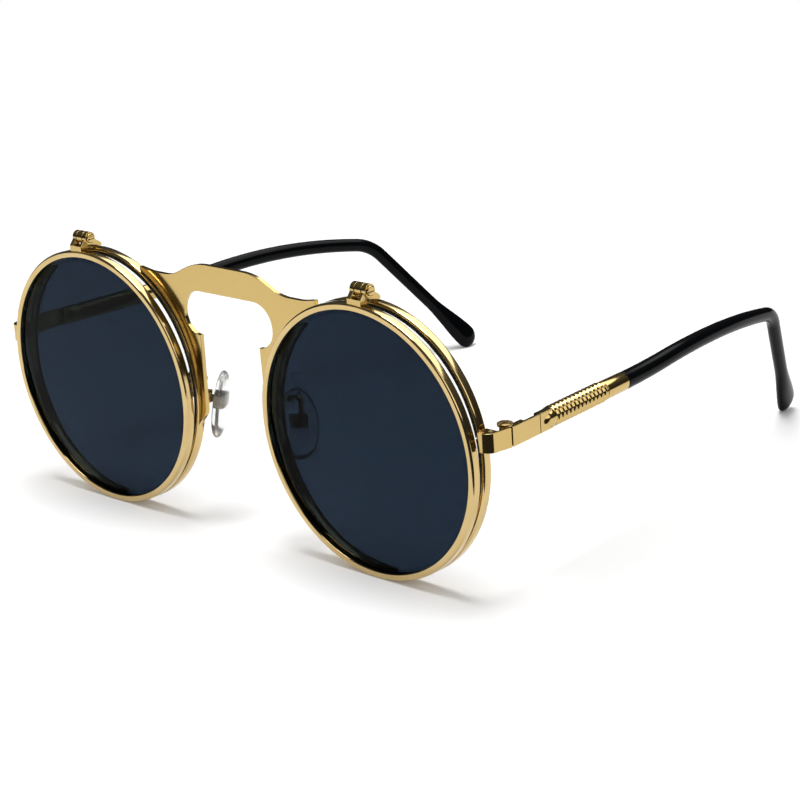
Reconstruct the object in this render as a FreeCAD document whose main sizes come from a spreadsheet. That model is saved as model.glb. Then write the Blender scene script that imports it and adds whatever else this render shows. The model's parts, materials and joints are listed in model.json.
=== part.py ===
"""Flip-up sunglasses: a round wire front with clear lenses, and a dark lens hinged over each.

Axes: +X to the right seen from the front, the front faces -Y, the temples run to +Y, +Z is up.
The glasses stand on the bottoms of the fixed rims and on the temple tips. The origin is on that
surface, in the middle of the footprint. Right means the +X side. Lengths are in millimetres.
"""
import FreeCAD, Part
import math
import os

import Sketcher

doc = FreeCAD.newDocument("flip_up_sunglasses")
Vector = FreeCAD.Vector
Rotation = FreeCAD.Rotation
Placement = FreeCAD.Placement
AXIS_X = Vector(1, 0, 0)
AXIS_Y = Vector(0, 1, 0)
AXIS_Z = Vector(0, 0, 1)
ORIGIN = Vector(0, 0, 0)

# Driving sizes: name, value, what it measures
SIZES = [
    ("nose_half", 10.7, "middle of the face to a rim"),
    ("lens_opening_radius", 25.0, "inside of a rim"),
    ("rim_wall", 1.3, "inside of a rim to its outside"),
    ("rim_bevel", 0.2, "bevel on a rim's outer edges"),
    ("base_rim_depth", 2.0, "front to back of a fixed rim"),
    ("flip_rim_depth", 1.95, "front to back of a flip rim"),
    ("groove_land", 1.0, "front of a rim to its lens groove"),
    ("groove_half", 0.35, "half the width of the lens groove"),
    ("groove_depth", 0.55, "depth of the lens groove"),
    ("lens_fit", 0.05, "play of a lens in its groove"),
    ("lens_step", 0.15, "lens face beyond its edge bevel"),
    ("flip_lean_angle", 1.9, "forward lean of a closed flip rim, degrees"),
    ("closing_gap", 0.1, "closed flip rim to fixed rim, at the bottom"),
    ("solder_gap", 0.03, "joint line between soldered pieces"),
    ("bridge_top", 26.95, "top of the bridge above the lens centres"),
    ("hump_inset", 2.2, "shoulder of the hump, inward of the rim"),
    ("bridge_hump_radius", 15.0, "shoulder of the hump"),
    ("bridge_dip", 23.65, "level of the dip beside the hump"),
    ("dip_start", 4.2, "start of the dip, outward of the rim's edge"),
    ("dip_end", 10.1, "end of the dip, outward of the rim's edge"),
    ("bridge_dip_radius", 10.0, "hollow of the dip"),
    ("bridge_lap", 13.6, "bridge's end, outward of the rim's edge"),
    ("bridge_end_level", 24.2, "level of the bridge's ends"),
    ("cut_top", 21.45, "top of the bridge's opening"),
    ("cut_lap", 1.5, "side of the bridge's opening, outward of the rim's edge"),
    ("cut_top_radius", 4.7, "upper corner of the opening"),
    ("cut_low", 12.65, "level of the cusps below the opening"),
    ("cut_low_radius", 3.9, "lower corner of the opening"),
    ("cusp_inset", 2.5, "cusp, inward of the rim"),
    ("leg_inset", 2.1, "leg, inward of the rim"),
    ("leg_level", 3.3, "foot of the straight leg, below the lens centres"),
    ("leg_drop", 7.5, "leg's end below the lens centres"),
    ("leg_lap", 1.8, "leg's end, outward of the rim's edge"),
    ("leg_radius", 3.0, "rounding of the leg's end"),
    ("bridge_setback", 0.1, "bridge behind the front of the fixed rims"),
    ("bridge_thickness", 0.9, "bridge plate"),
    ("bridge_gap", 0.07, "joint line between the bridge and a rim, clear of the leaned flip rim"),
    ("flip_axis_rise", 2.4, "flip hinge above the rims"),
    ("flip_axis_back", 1.25, "flip hinge behind the front datum"),
    ("flip_axis_out", 1.4, "flip hinge outward of the lens centre"),
    ("flip_barrel_radius", 1.25, "barrels of the flip hinge"),
    ("lug_side", 0.8, "half the width of the fixed knuckle"),
    ("lug_half", 0.6, "half the thickness of the hinge lug's arm"),
    ("lug_bend", 0.8, "rounded back of the hinge lug"),
    ("ear_width", 1.05, "each outer knuckle of the flip hinge"),
    ("knuckle_gap", 0.12, "between neighbouring knuckles"),
    ("flip_pin_radius", 0.5, "flip hinge screw"),
    ("flip_head_radius", 0.95, "head of the flip hinge screw"),
    ("flip_head_height", 0.4, "head of the flip hinge screw"),
    ("running_play", 0.05, "screw in a turning knuckle, on the radius"),
    ("thread_play", 0.02, "screw in the knuckle that it is fixed in"),
    ("slot_half", 0.15, "half the width of a driver slot"),
    ("slot_depth", 0.2, "driver slots"),
    ("head_rounding", 0.2, "rounded edge of a screw head"),
    ("foot_left", 1.9, "flip bracket's saddle, left of the hinge's middle"),
    ("foot_right", 1.5, "flip bracket's saddle, right of the hinge's middle"),
    ("foot_front", 2.2, "saddle in front of the hinge axis"),
    ("foot_rear", 0.45, "saddle's back edge in front of the hinge axis"),
    ("saddle_gap", 0.1, "fixed knuckle to the flip bracket's saddle"),
    ("endpiece_rise", 4.9, "temple line above the lens centres"),
    ("strip_half", 1.8, "half the height of the endpiece and temple strips"),
    ("strip_thickness", 0.7, "endpiece and temple strips"),
    ("flip_side_clearance", 0.3, "flip rim to endpiece"),
    ("endpiece_reach", 2.8, "endpiece corner beyond the rim"),
    ("endpiece_front", 1.7, "endpiece in front of the fixed rim"),
    ("endpiece_back", 3.5, "endpiece's end behind the rim's front"),
    ("endpiece_radius", 1.9, "rounded corner of the endpiece"),
    ("endpiece_splay_angle", 9.5, "outward slant of the endpiece, degrees"),
    ("split_half", 0.12, "half the split through the closing block and the rim"),
    ("block_height", 1.25, "each half of the closing block"),
    ("block_pin_radius", 0.4, "closing screw"),
    ("block_head_radius", 0.65, "head of the closing screw"),
    ("block_head_height", 0.4, "head of the closing screw"),
    ("block_screw_out", 1.1, "closing screw beyond the rim"),
    ("hinge_barrel_radius", 1.0, "barrels of the temple hinge"),
    ("hinge_setback", 0.3, "temple hinge behind the endpiece's end"),
    ("hinge_gap", 0.05, "hinge barrel to strip"),
    ("hinge_margin", 0.05, "temple hinge above and below the strips"),
    ("knuckle_half", 0.55, "half the height of the temple's own knuckle"),
    ("knuckle_room", 0.15, "round a turning knuckle"),
    ("leaf_inset", 0.3, "hinge axis to the inner face of a leaf"),
    ("temple_leaf", 4.0, "temple hinge leaf"),
    ("hinge_pin_radius", 0.5, "temple hinge screw"),
    ("hinge_head_radius", 1.45, "head of the temple hinge screw"),
    ("hinge_head_height", 0.55, "head of the temple hinge screw"),
    ("butt_gap", 0.15, "open temple to endpiece"),
    ("temple_toe_angle", 3.7, "inward heading of an open temple, degrees"),
    ("plate_length", 7.95, "flat front plate of a temple"),
    ("plate_radius", 0.3, "corners of the front plate"),
    ("seam_gap", 0.12, "seam between the temple's plate and its shaft"),
    ("tang_length", 3.6, "flat tang in front of the ribs"),
    ("tang_thickness", 1.5, "flat tang of the shaft"),
    ("shaft_inset", 1.0, "shaft's middle inward of the strips' outer face"),
    ("shaft_radius", 1.95, "ribbed shaft"),
    ("scoop_length", 2.6, "run-out of the shaft into its tang"),
    ("scoop_drop", 0.9, "fall of the run-out"),
    ("rib_length", 16.2, "ribbed stretch of the shaft"),
    ("rib_margin", 0.43, "shaft's end to the first groove"),
    ("rib_pitch", 1.18, "one groove to the next"),
    ("rib_depth", 0.25, "grooves between the ribs"),
    ("rib_half", 0.25, "half the width of a groove"),
    ("shaft_bevel", 0.2, "bevelled end of the shaft"),
    ("ferrule_radius", 1.8, "plain ferrule"),
    ("ferrule_length", 6.5, "plain ferrule"),
    ("ferrule_bevel", 0.15, "bevelled ends of the ferrule"),
    ("core_radius", 0.55, "wire core of a temple"),
    ("core_in_shaft", 3.0, "core inside the shaft"),
    ("core_in_tip", 14.0, "core inside the tip"),
    ("core_fit", 0.03, "core in its bores"),
    ("tip_start_half", 1.75, "half the width of a tip at the ferrule"),
    ("tip_height_half", 1.5, "half the height of a tip before its bend"),
    ("tip_side_half", 1.3, "half the thickness of a tip before its bend"),
    ("hook_half", 1.55, "half the width of a tip below its bend"),
    ("hook_side_half", 1.25, "half the thickness of a tip below its bend"),
    ("paddle_half", 2.8, "half the width of a tip's broad end"),
    ("paddle_length", 13.0, "broad end of a tip"),
    ("rise_length", 14.0, "rising start of a tip"),
    ("rise_angle", 4.0, "rise of a tip at its start, degrees"),
    ("side_length", 41.0, "long curve of a tip"),
    ("side_curve_angle", 8.4, "inward turn of the long curve, degrees"),
    ("side_fall_angle", 15.2, "downward turn of the long curve, degrees"),
    ("ear_radius", 10.5, "ear bend"),
    ("ear_angle", 40.2, "ear bend, degrees"),
    ("ear_roll_angle", 16.0, "inward roll of the ear bend, degrees"),
    ("pad_pivot_out", 2.3, "nose pad pivot, outward of the rim's edge"),
    ("pad_pivot_back", 2.6, "nose pad pivot behind the fixed rims"),
    ("pad_pivot_drop", 2.0, "nose pad pivot below the lens centres"),
    ("pad_splay_angle", 35.0, "nose pad turned back from the side, degrees"),
    ("pad_slope_angle", 11.0, "nose pad's bottom leaning outward, degrees"),
    ("pad_half_height", 7.0, "half the height of a nose pad"),
    ("pad_half_width", 4.0, "half the width of a nose pad"),
    ("pad_thickness", 2.6, "nose pad"),
    ("pad_standoff", 1.5, "pivot to the back of the pad"),
    ("pad_drop", 1.0, "middle of the pad below its pivot"),
    ("insert_half_width", 1.7, "half the width of the pad's metal insert"),
    ("insert_half_height", 1.2, "half the height of the pad's metal insert"),
    ("insert_depth", 1.2, "metal insert inside the pad"),
    ("insert_fit", 0.03, "insert in its pocket"),
    ("tab_radius", 0.95, "eye of the insert's tab"),
    ("tab_half", 0.6, "half the thickness of the tab"),
    ("cup_play", 0.12, "tab in its cup"),
    ("cup_wall", 0.55, "walls of the pad cup"),
    ("cup_half_height", 1.3, "half the height of the pad cup"),
    ("cup_front", 0.6, "pivot to the front of the pad cup"),
    ("pad_pin_radius", 0.4, "nose pad screw"),
    ("pad_head_radius", 0.7, "head of the nose pad screw"),
    ("pad_head_height", 0.35, "head of the nose pad screw"),
    ("arm_radius", 0.5, "wire of a nose pad arm"),
    ("arm_bend", 0.9, "bends of a nose pad arm"),
    ("arm_root_rise", 2.4, "arm's root above the lens centres"),
    ("arm_loop_back", 1.8, "arm's loop behind the fixed rim"),
    ("arm_loop_rise", 1.2, "arm's loop above its root"),
    ("arm_end_run", 1.6, "arm's straight end at the pad cup"),
]

sheet = doc.addObject("Spreadsheet::Sheet", "sizes")
for row, (name, value, meaning) in enumerate(SIZES, start=1):
    sheet.set("A%d" % row, meaning)
    sheet.set("B%d" % row, str(value))
    sheet.setAlias("B%d" % row, name)
doc.recompute()


def size(name):
    """A driving size from the sheet."""
    return float(sheet.get(name))


# Lengths that follow from other sizes, each as a value and as a formula on the sheet
SPLAY = math.radians(size("endpiece_splay_angle"))
LEAN = math.radians(size("flip_lean_angle"))
SPLAY_CELL = "sizes.endpiece_splay_angle * 1 deg"
LEAN_CELL = "sizes.flip_lean_angle * 1 deg"
RIM_OUTER = size("lens_opening_radius") + size("rim_wall")
RIM_OUTER_CELL = "(sizes.lens_opening_radius + sizes.rim_wall)"
BASE_FRONT = size("flip_rim_depth") * math.cos(LEAN) + RIM_OUTER * math.sin(LEAN) + size("closing_gap")
STRIP_IN = size("hinge_barrel_radius") + size("hinge_gap")
STRIP_OUT = STRIP_IN + size("strip_thickness")
DERIVED = {
    "rim_outer_radius": (RIM_OUTER, RIM_OUTER_CELL),
    "slant_spread": (
        (size("endpiece_front") + size("endpiece_back")) * math.tan(SPLAY),
        "(sizes.endpiece_front + sizes.endpiece_back) * tan(%s)" % SPLAY_CELL),
    "slant_wall": (
        size("strip_thickness") / math.cos(SPLAY),
        "sizes.strip_thickness / cos(%s)" % SPLAY_CELL),
    "slant_corner": (
        size("strip_thickness") * math.tan(SPLAY),
        "sizes.strip_thickness * tan(%s)" % SPLAY_CELL),
    "slant_block": (
        (size("endpiece_front") + size("base_rim_depth")) * math.tan(SPLAY),
        "(sizes.endpiece_front + sizes.base_rim_depth) * tan(%s)" % SPLAY_CELL),
    "front_leaf": (
        (size("endpiece_back") + size("hinge_setback") - size("base_rim_depth") - size("solder_gap"))
        / math.cos(SPLAY) - STRIP_IN * math.tan(SPLAY),
        "(sizes.endpiece_back + sizes.hinge_setback - sizes.base_rim_depth - sizes.solder_gap) / cos(%s)"
        " - (sizes.hinge_barrel_radius + sizes.hinge_gap) * tan(%s)" % (SPLAY_CELL, SPLAY_CELL)),
    "lug_reach": (
        BASE_FRONT - size("flip_axis_back"),
        "sizes.flip_rim_depth * cos(%s) + %s * sin(%s) + sizes.closing_gap - sizes.flip_axis_back"
        % (LEAN_CELL, RIM_OUTER_CELL, LEAN_CELL)),
}


def is_number(word):
    return word.replace(".", "").isdigit()


def total(text):
    """The value of a sum such as "rim_outer_radius - rim_bevel"."""
    result = 0.0
    sign = 1.0
    for word in text.split():
        if word in "+-":
            sign = 1.0 if word == "+" else -1.0
        elif word in DERIVED:
            result += sign * DERIVED[word][0]
        else:
            result += sign * (float(word) if is_number(word) else size(word))
    return result


def bound(text):
    """The same sum as a formula on the sheet's cells."""
    words = []
    for word in text.split():
        if word in "+-" or is_number(word):
            words.append(word)
        elif word in DERIVED:
            words.append("(" + DERIVED[word][1] + ")")
        else:
            words.append("sizes." + word)
    return " ".join(words)


def minus(text):
    """The same sum with its signs turned round."""
    swapped = {"+": "-", "-": "+"}
    return "0 - " + " ".join(swapped.get(word, word) for word in text.split())


def twice(text):
    return text + " + " + text


def bind(thing, **sums):
    """Tie properties of a document object to sums of sizes."""
    for name, text in sums.items():
        thing.setExpression(name, bound(text))


# Places worked out from the driving sizes, in the front's frame
LENS_HALF = size("nose_half") + RIM_OUTER
LENS_Z = RIM_OUTER
BASE_BACK = BASE_FRONT + size("base_rim_depth")
RIM_SIDE = LENS_HALF + RIM_OUTER
TEMPLE_Z = LENS_Z + size("endpiece_rise")
FLIP_AXIS = Vector(LENS_HALF + size("flip_axis_out"), size("flip_axis_back"),
                   LENS_Z + RIM_OUTER + size("flip_axis_rise"))
BUTT_X = RIM_SIDE + size("endpiece_reach") + total("slant_spread")
BUTT_Y = BASE_FRONT + size("endpiece_back")
HINGE_AXIS = Vector(BUTT_X + size("hinge_setback") * math.tan(SPLAY) - STRIP_OUT / math.cos(SPLAY),
                    BUTT_Y + size("hinge_setback"), TEMPLE_Z)
PAD_PIVOT = Vector(total("nose_half + pad_pivot_out"), BASE_BACK + size("pad_pivot_back"),
                   LENS_Z - size("pad_pivot_drop"))

# Places along a temple, in its own frame: hinge axis at the origin, temple along +Y
SHAFT_X = STRIP_OUT - size("shaft_inset")
PLATE_FRONT = "butt_gap - hinge_setback"
TANG_START = total(PLATE_FRONT + " + plate_length + seam_gap")
RIB_START = TANG_START + size("tang_length")
RIB_END = RIB_START + size("rib_length")
FERRULE_START = RIB_END + size("solder_gap")
TIP_START = FERRULE_START + total("ferrule_length + solder_gap")


class TipPath:
    """The line of a temple tip, in the temple's frame.

    It rises a little, turns inward and down on a long arc, bends over the ear on an arc whose plane
    leans inward, and then runs straight until its rounded end stands on the surface.
    """

    spacing = 4.3

    def __init__(self):
        self.place = Vector(SHAFT_X, TIP_START, 0)
        self.heading = Vector(0, 1, 0)
        self.rise_stations = self.long_bend(size("rise_length"), 0.0, -size("rise_angle"))
        self.side_stations = self.long_bend(size("side_length"), size("side_curve_angle"),
                                            size("side_fall_angle"))
        self.side = self.side_axis(self.heading, size("ear_roll_angle"))
        self.ear_stations = self.bend(self.side * -1, size("ear_radius"), size("ear_angle"))
        self.wide = self.side.cross(self.heading)
        lowest = self.end_reach(AXIS_Z)
        self.run = (TEMPLE_Z + self.place.z - lowest) / -self.heading.z
        self.end_middle = self.place + self.heading * self.run

    def side_axis(self, heading, roll):
        """The outward direction square to a heading, rolled about it by an angle."""
        outward = heading.cross(AXIS_Z).normalize()
        angle = math.radians(roll)
        return outward * math.cos(angle) - outward.cross(heading) * math.sin(angle)

    def long_bend(self, length, inward, down):
        """A gentle arc that turns the heading inward and down by two angles."""
        outward = self.heading.cross(AXIS_Z).normalize()
        turn_axis = outward.cross(self.heading) * inward - outward * down
        angle = turn_axis.Length
        return self.bend(turn_axis.normalize(), length / math.radians(angle), angle)

    def bend(self, turn_axis, radius, angle):
        """Follow an arc about an axis, and return its stations: share of the arc, place, heading."""
        middle = self.place + turn_axis.cross(self.heading) * radius
        arm = self.place - middle
        start = self.heading
        count = round(radius * math.radians(angle) / self.spacing)
        stations = []
        for step in range(1, count + 1):
            turn = Rotation(turn_axis, angle * step / count)
            self.place = middle + turn.multVec(arm)
            self.heading = turn.multVec(start)
            stations.append((step / count, self.place, self.heading))
        return stations

    def end_reach(self, direction):
        """How far the rounded end reaches along a direction from the middle of its rounding."""
        halves = ((self.heading, size("paddle_half")), (self.wide, size("paddle_half")),
                  (self.side, size("hook_side_half")))
        return math.sqrt(sum((axis.dot(direction) * half) ** 2 for axis, half in halves))


TIP = TipPath()
TOE = Rotation(AXIS_Z, size("temple_toe_angle"))
REARMOST = ((HINGE_AXIS + TOE.multVec(TIP.end_middle)).y
            + TIP.end_reach(TOE.inverted().multVec(AXIS_Y)))
FOREMOST = -total("rim_outer_radius - rim_bevel") * math.sin(LEAN)
SHIFT = Vector(0, -(FOREMOST + REARMOST) / 2, 0)


def at(place, rotation=Rotation()):
    """A placement in the front's frame, carried to the origin's frame."""
    return Placement(place + SHIFT, rotation)


def moved(place, x=0.0, y=0.0, z=0.0):
    return place.multiply(Placement(Vector(x, y, z), Rotation()))


def turned_to(place, axis, direction):
    """The placement turned so that one of its axes runs along a direction of its own frame."""
    return place.multiply(Placement(ORIGIN, Rotation(axis, direction)))


BASE_LENS = at(Vector(LENS_HALF, BASE_FRONT, LENS_Z))
FLIP_LENS = at(Vector(LENS_HALF, 0, LENS_Z), Rotation(AXIS_X, size("flip_lean_angle")))
FLIP_HINGE = at(FLIP_AXIS)
CORNER = at(Vector(RIM_SIDE, BASE_FRONT, TEMPLE_Z))
FRONT_HINGE = at(HINGE_AXIS, Rotation(AXIS_Z, -size("endpiece_splay_angle")))
TEMPLE = at(HINGE_AXIS, TOE)
PAD = at(PAD_PIVOT, Rotation(AXIS_Z, 180 - size("pad_splay_angle")).multiply(
    Rotation(AXIS_Y, size("pad_slope_angle"))))


# Sketches
def origin_part(body, role):
    return [part for part in body.Origin.OriginFeatures if part.Role == role][0]


def rounded_outline(body, name, role, corners):
    """A closed sketch through corners (x, y) or (x, y, radius), each number a sum of sizes.

    A rounded corner keeps its sharp corner as a point on both of its lines.
    """
    sketch = body.newObject("Sketcher::SketchObject", name)
    sketch.AttachmentSupport = [(origin_part(body, role), "")]
    sketch.MapMode = "FlatFace"
    sharp = [Vector(total(corner[0]), total(corner[1]), 0) for corner in corners]
    count = len(corners)
    enter = list(sharp)
    leave = list(sharp)
    middles = [None] * count
    for index, corner in enumerate(corners):
        if len(corner) == 3:
            here = sharp[index]
            back = (sharp[index - 1] - here).normalize()
            ahead = (sharp[(index + 1) % count] - here).normalize()
            half = back.getAngle(ahead) / 2
            radius = total(corner[2])
            enter[index] = here + back * (radius / math.tan(half))
            leave[index] = here + ahead * (radius / math.tan(half))
            middles[index] = here + (back + ahead).normalize() * (radius / math.sin(half))
    lines = []
    for index in range(count):
        line = Part.LineSegment(leave[index], enter[(index + 1) % count])
        lines.append(sketch.addGeometry(line, False))
    for index, corner in enumerate(corners):
        before, after = lines[index - 1], lines[index]
        if middles[index] is None:
            sketch.addConstraint(Sketcher.Constraint("Coincident", before, 2, after, 1))
            pin(sketch, after, corner)
        else:
            round_corner(sketch, before, after, corner, sharp[index],
                         middles[index], enter[index], leave[index])
    return sketch


def pin(sketch, geometry, corner):
    """Hold a point of a sketch at a corner's two sums."""
    for kind, text in (("DistanceX", corner[0]), ("DistanceY", corner[1])):
        rule = sketch.addConstraint(Sketcher.Constraint(kind, -1, 1, geometry, 1, total(text)))
        if text != "0":
            sketch.setExpression("Constraints[%d]" % rule, bound(text))


def round_corner(sketch, before, after, corner, sharp, middle, enter, leave):
    """An arc between two lines of a sketch, tangent to both."""
    first, last = enter - middle, leave - middle
    leftward = first.cross(last).z > 0
    begin, end = (first, last) if leftward else (last, first)
    circle = Part.Circle(middle, AXIS_Z, total(corner[2]))
    arc = Part.ArcOfCircle(circle, math.atan2(begin.y, begin.x), math.atan2(end.y, end.x))
    bend = sketch.addGeometry(arc, False)
    point = sketch.addGeometry(Part.Point(sharp), True)
    entry, leaving = (1, 2) if leftward else (2, 1)
    sketch.addConstraint(Sketcher.Constraint("Tangent", before, 2, bend, entry))
    sketch.addConstraint(Sketcher.Constraint("Tangent", bend, leaving, after, 1))
    rule = sketch.addConstraint(Sketcher.Constraint("Radius", bend, total(corner[2])))
    sketch.setExpression("Constraints[%d]" % rule, bound(corner[2]))
    pin(sketch, point, corner)
    sketch.addConstraint(Sketcher.Constraint("PointOnObject", point, 1, before))
    sketch.addConstraint(Sketcher.Constraint("PointOnObject", point, 1, after))


# Solids
def new_body(label, place):
    body = doc.addObject("PartDesign::Body", label)
    body.Placement = place
    return body


def turned(label, profile, place):
    """A body turned about its own Y axis from a profile of (radius, y) corners."""
    body = new_body(label, place)
    sketch = rounded_outline(body, label + "_profile", "XY_Plane", profile)
    revolution = body.newObject("PartDesign::Revolution", label + "_turned")
    revolution.Profile = sketch
    revolution.ReferenceAxis = (sketch, ["V_Axis"])
    revolution.Angle = 360
    return body


def extruded(label, role, corners, depth, place, midplane=True):
    """A body padded from a rounded outline on one of its planes."""
    body = new_body(label, place)
    sketch = rounded_outline(body, label + "_outline", role, corners)
    pad = body.newObject("PartDesign::Pad", label + "_pad")
    pad.Profile = sketch
    pad.Midplane = midplane
    bind(pad, Length=depth)
    return body


def cylinder(label, radius, height, place):
    solid = doc.addObject("Part::Cylinder", label)
    bind(solid, Radius=radius, Height=height)
    solid.Placement = place
    return solid


def both_ways(label, radius, half, place):
    """A round bar along the Z of a placement, reaching equally both ways."""
    return cylinder(label, radius, twice(half), moved(place, z=-total(half)))


def block(label, low, high, place):
    """A box between two corners, each of three sums of sizes, in the frame of a placement."""
    solid = doc.addObject("Part::Box", label)
    for name, bottom, top in zip(("Length", "Width", "Height"), low, high):
        bind(solid, **{name: top + " - " + minus(bottom)[len("0 - "):]})
    solid.Placement = moved(place, *[total(text) for text in low])
    return solid


def fused(label, *solids):
    joined = doc.addObject("Part::MultiFuse", label)
    joined.Shapes = list(solids)
    joined.Refine = True
    return joined


def cut(label, base, *tools):
    result = base
    for count, tool in enumerate(tools):
        cutting = doc.addObject("Part::Cut", "%s_cut_%d" % (label, count))
        cutting.Base = result
        cutting.Tool = tool
        result = cutting
    return result


def ellipse(label, wide, thick, place):
    """A closed section across the Z of a placement, wide along its X."""
    section = doc.addObject("Part::Ellipse", label)
    section.MajorRadius = wide
    section.MinorRadius = thick
    section.Placement = place
    return section


def lofted(label, sections):
    loft = doc.addObject("Part::Loft", label)
    loft.Sections = sections
    loft.Solid = True
    loft.Ruled = False
    return loft


nodes = []


def keep(solid, label):
    """Name a finished sub-part."""
    solid.Label = label
    nodes.append(solid)


def mirror_image(solid, name):
    twin = doc.addObject("Part::Mirroring", name + "_mirrored")
    twin.Source = solid
    twin.Base = ORIGIN
    twin.Normal = AXIS_X
    return twin


def keep_pair(solid, name):
    """Name a right-hand sub-part, and add its left-hand mirror image."""
    keep(solid, name + "_right")
    keep(mirror_image(solid, name), name + "_left")


def keep_group(solid, label):
    """One node that holds a right-hand fastener and its mirror image."""
    group = doc.addObject("Part::Compound", label + "_group")
    group.Links = [solid, mirror_image(solid, label)]
    keep(group, label)


def rim_space(label, lens_place, joint_line="solder_gap"):
    """The room that a rim takes, with a joint line round it."""
    start = moved(lens_place, y=-RIM_OUTER)
    return cylinder(label, "rim_outer_radius + " + joint_line, twice("rim_outer_radius"),
                    turned_to(start, AXIS_Z, AXIS_Y))


def screw(label, pin_radius, length, head_radius, head_height, place, crossed=False):
    """A screw along Y: the head's seat at zero, the shank towards -Y, a driver slot in the head."""
    blank = turned(label + "_blank", [
        ("0", minus(length)),
        (pin_radius, minus(length)),
        (pin_radius, "0"),
        (head_radius, "0"),
        (head_radius, head_height, "head_rounding"),
        ("0", head_height),
    ], place)
    floor = head_height + " - slot_depth"
    edge = minus(head_radius)
    slots = [block(label + "_slot", (edge, floor, "0 - slot_half"),
                   (head_radius, head_height, "slot_half"), place)]
    if crossed:
        slots.append(block(label + "_cross", ("0 - slot_half", floor, edge),
                           ("slot_half", head_height, head_radius), place))
    return cut(label, blank, *slots)


# Rims and lenses
GROOVE_MIDDLE = "groove_land + groove_half"
GROOVE_BACK = "groove_land + groove_half + groove_half"
LENS_EDGE = "lens_opening_radius - lens_fit"
LENS_PROFILE = [
    ("0", "groove_land - lens_step"),
    (LENS_EDGE, "groove_land - lens_step"),
    (LENS_EDGE, "groove_land"),
    (LENS_EDGE + " + groove_depth", GROOVE_MIDDLE),
    (LENS_EDGE, GROOVE_BACK),
    (LENS_EDGE, GROOVE_BACK + " + lens_step"),
    ("0", GROOVE_BACK + " + lens_step"),
]


def rim_profile(depth):
    return [
        ("lens_opening_radius", "0"),
        ("rim_outer_radius - rim_bevel", "0"),
        ("rim_outer_radius", "rim_bevel"),
        ("rim_outer_radius", depth + " - rim_bevel"),
        ("rim_outer_radius - rim_bevel", depth),
        ("lens_opening_radius", depth),
        ("lens_opening_radius", GROOVE_BACK),
        ("lens_opening_radius + groove_depth", GROOVE_MIDDLE),
        ("lens_opening_radius", "groove_land"),
    ]


def make_rims():
    """Two fixed rims, each split at its closing block, two flip rims, and the four lenses."""
    ring = turned("base_ring", rim_profile("base_rim_depth"), BASE_LENS)
    split = block("rim_split",
                  ("lens_opening_radius - groove_depth", "0 - rim_bevel", "endpiece_rise - split_half"),
                  ("rim_outer_radius + groove_depth", "base_rim_depth + rim_bevel",
                   "endpiece_rise + split_half"), BASE_LENS)
    keep_pair(cut("base_rim", ring, split), "base_rim")
    keep_pair(turned("clear_lens", LENS_PROFILE, BASE_LENS), "clear_lens")
    keep_pair(turned("flip_rim", rim_profile("flip_rim_depth"), FLIP_LENS), "flip_rim")
    keep_pair(turned("dark_lens", LENS_PROFILE, FLIP_LENS), "dark_lens")


# Bridge
def make_bridge():
    """A flat plate with a hump, an opening over the nose and a leg down each fixed rim."""
    body = new_body("bridge_blank", at(Vector(0, BASE_FRONT + size("bridge_setback"), LENS_Z)))
    sketch = rounded_outline(body, "bridge_outline", "XZ_Plane", [
        ("0", "bridge_top"),
        ("nose_half - hump_inset", "bridge_top", "bridge_hump_radius"),
        ("nose_half + dip_start", "bridge_dip", "bridge_dip_radius"),
        ("nose_half + dip_end", "bridge_dip", "bridge_dip_radius"),
        ("nose_half + bridge_lap", "bridge_end_level"),
        ("nose_half + bridge_lap", "0 - leg_drop"),
        ("nose_half + leg_lap", "0 - leg_drop"),
        ("nose_half - leg_inset", "0 - leg_level", "leg_radius"),
        ("nose_half - cusp_inset", "cut_low"),
        ("nose_half + cut_lap", "cut_low", "cut_low_radius"),
        ("nose_half + cut_lap", "cut_top", "cut_top_radius"),
        ("0", "cut_top"),
    ])
    pad = body.newObject("PartDesign::Pad", "bridge_pad")
    pad.Profile = sketch
    pad.Reversed = True
    bind(pad, Length="bridge_thickness")
    doc.recompute()
    mirrored = body.newObject("PartDesign::Mirrored", "bridge_both_sides")
    mirrored.Originals = [pad]
    mirrored.MirrorPlane = (origin_part(body, "YZ_Plane"), [""])
    body.Tip = mirrored
    left_lens = at(Vector(-LENS_HALF, BASE_FRONT, LENS_Z))
    keep(cut("bridge", body, rim_space("bridge_seat_right", BASE_LENS, "bridge_gap"),
             rim_space("bridge_seat_left", left_lens, "bridge_gap")), "bridge_plate")


# Flip hinges
FLIP_SIDE = "lug_side + knuckle_gap + ear_width"
RIM_TOP = "0 - flip_axis_rise"
FOOT_LOW = RIM_TOP + " - flip_barrel_radius"


def make_hinge_lugs():
    """A knuckle in front of and above each fixed rim, on an arm that slants down to it."""
    across = turned_to(FLIP_HINGE, AXIS_Z, AXIS_X)
    knuckle = both_ways("lug_knuckle", "flip_barrel_radius", "lug_side", across)
    arm = extruded("lug_arm", "YZ_Plane", [
        ("0", "lug_half"),
        ("lug_reach + base_rim_depth", RIM_TOP + " + lug_half", "lug_bend"),
        ("lug_reach + base_rim_depth", FOOT_LOW),
        ("lug_reach", FOOT_LOW),
        ("0", "0 - lug_half"),
    ], twice("lug_side"), FLIP_HINGE)
    keep_pair(cut("hinge_lug", fused("lug_blank", knuckle, arm), rim_space("lug_seat", BASE_LENS),
                  both_ways("lug_hole", "flip_pin_radius + running_play", FLIP_SIDE, across)),
              "hinge_lug")


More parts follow.
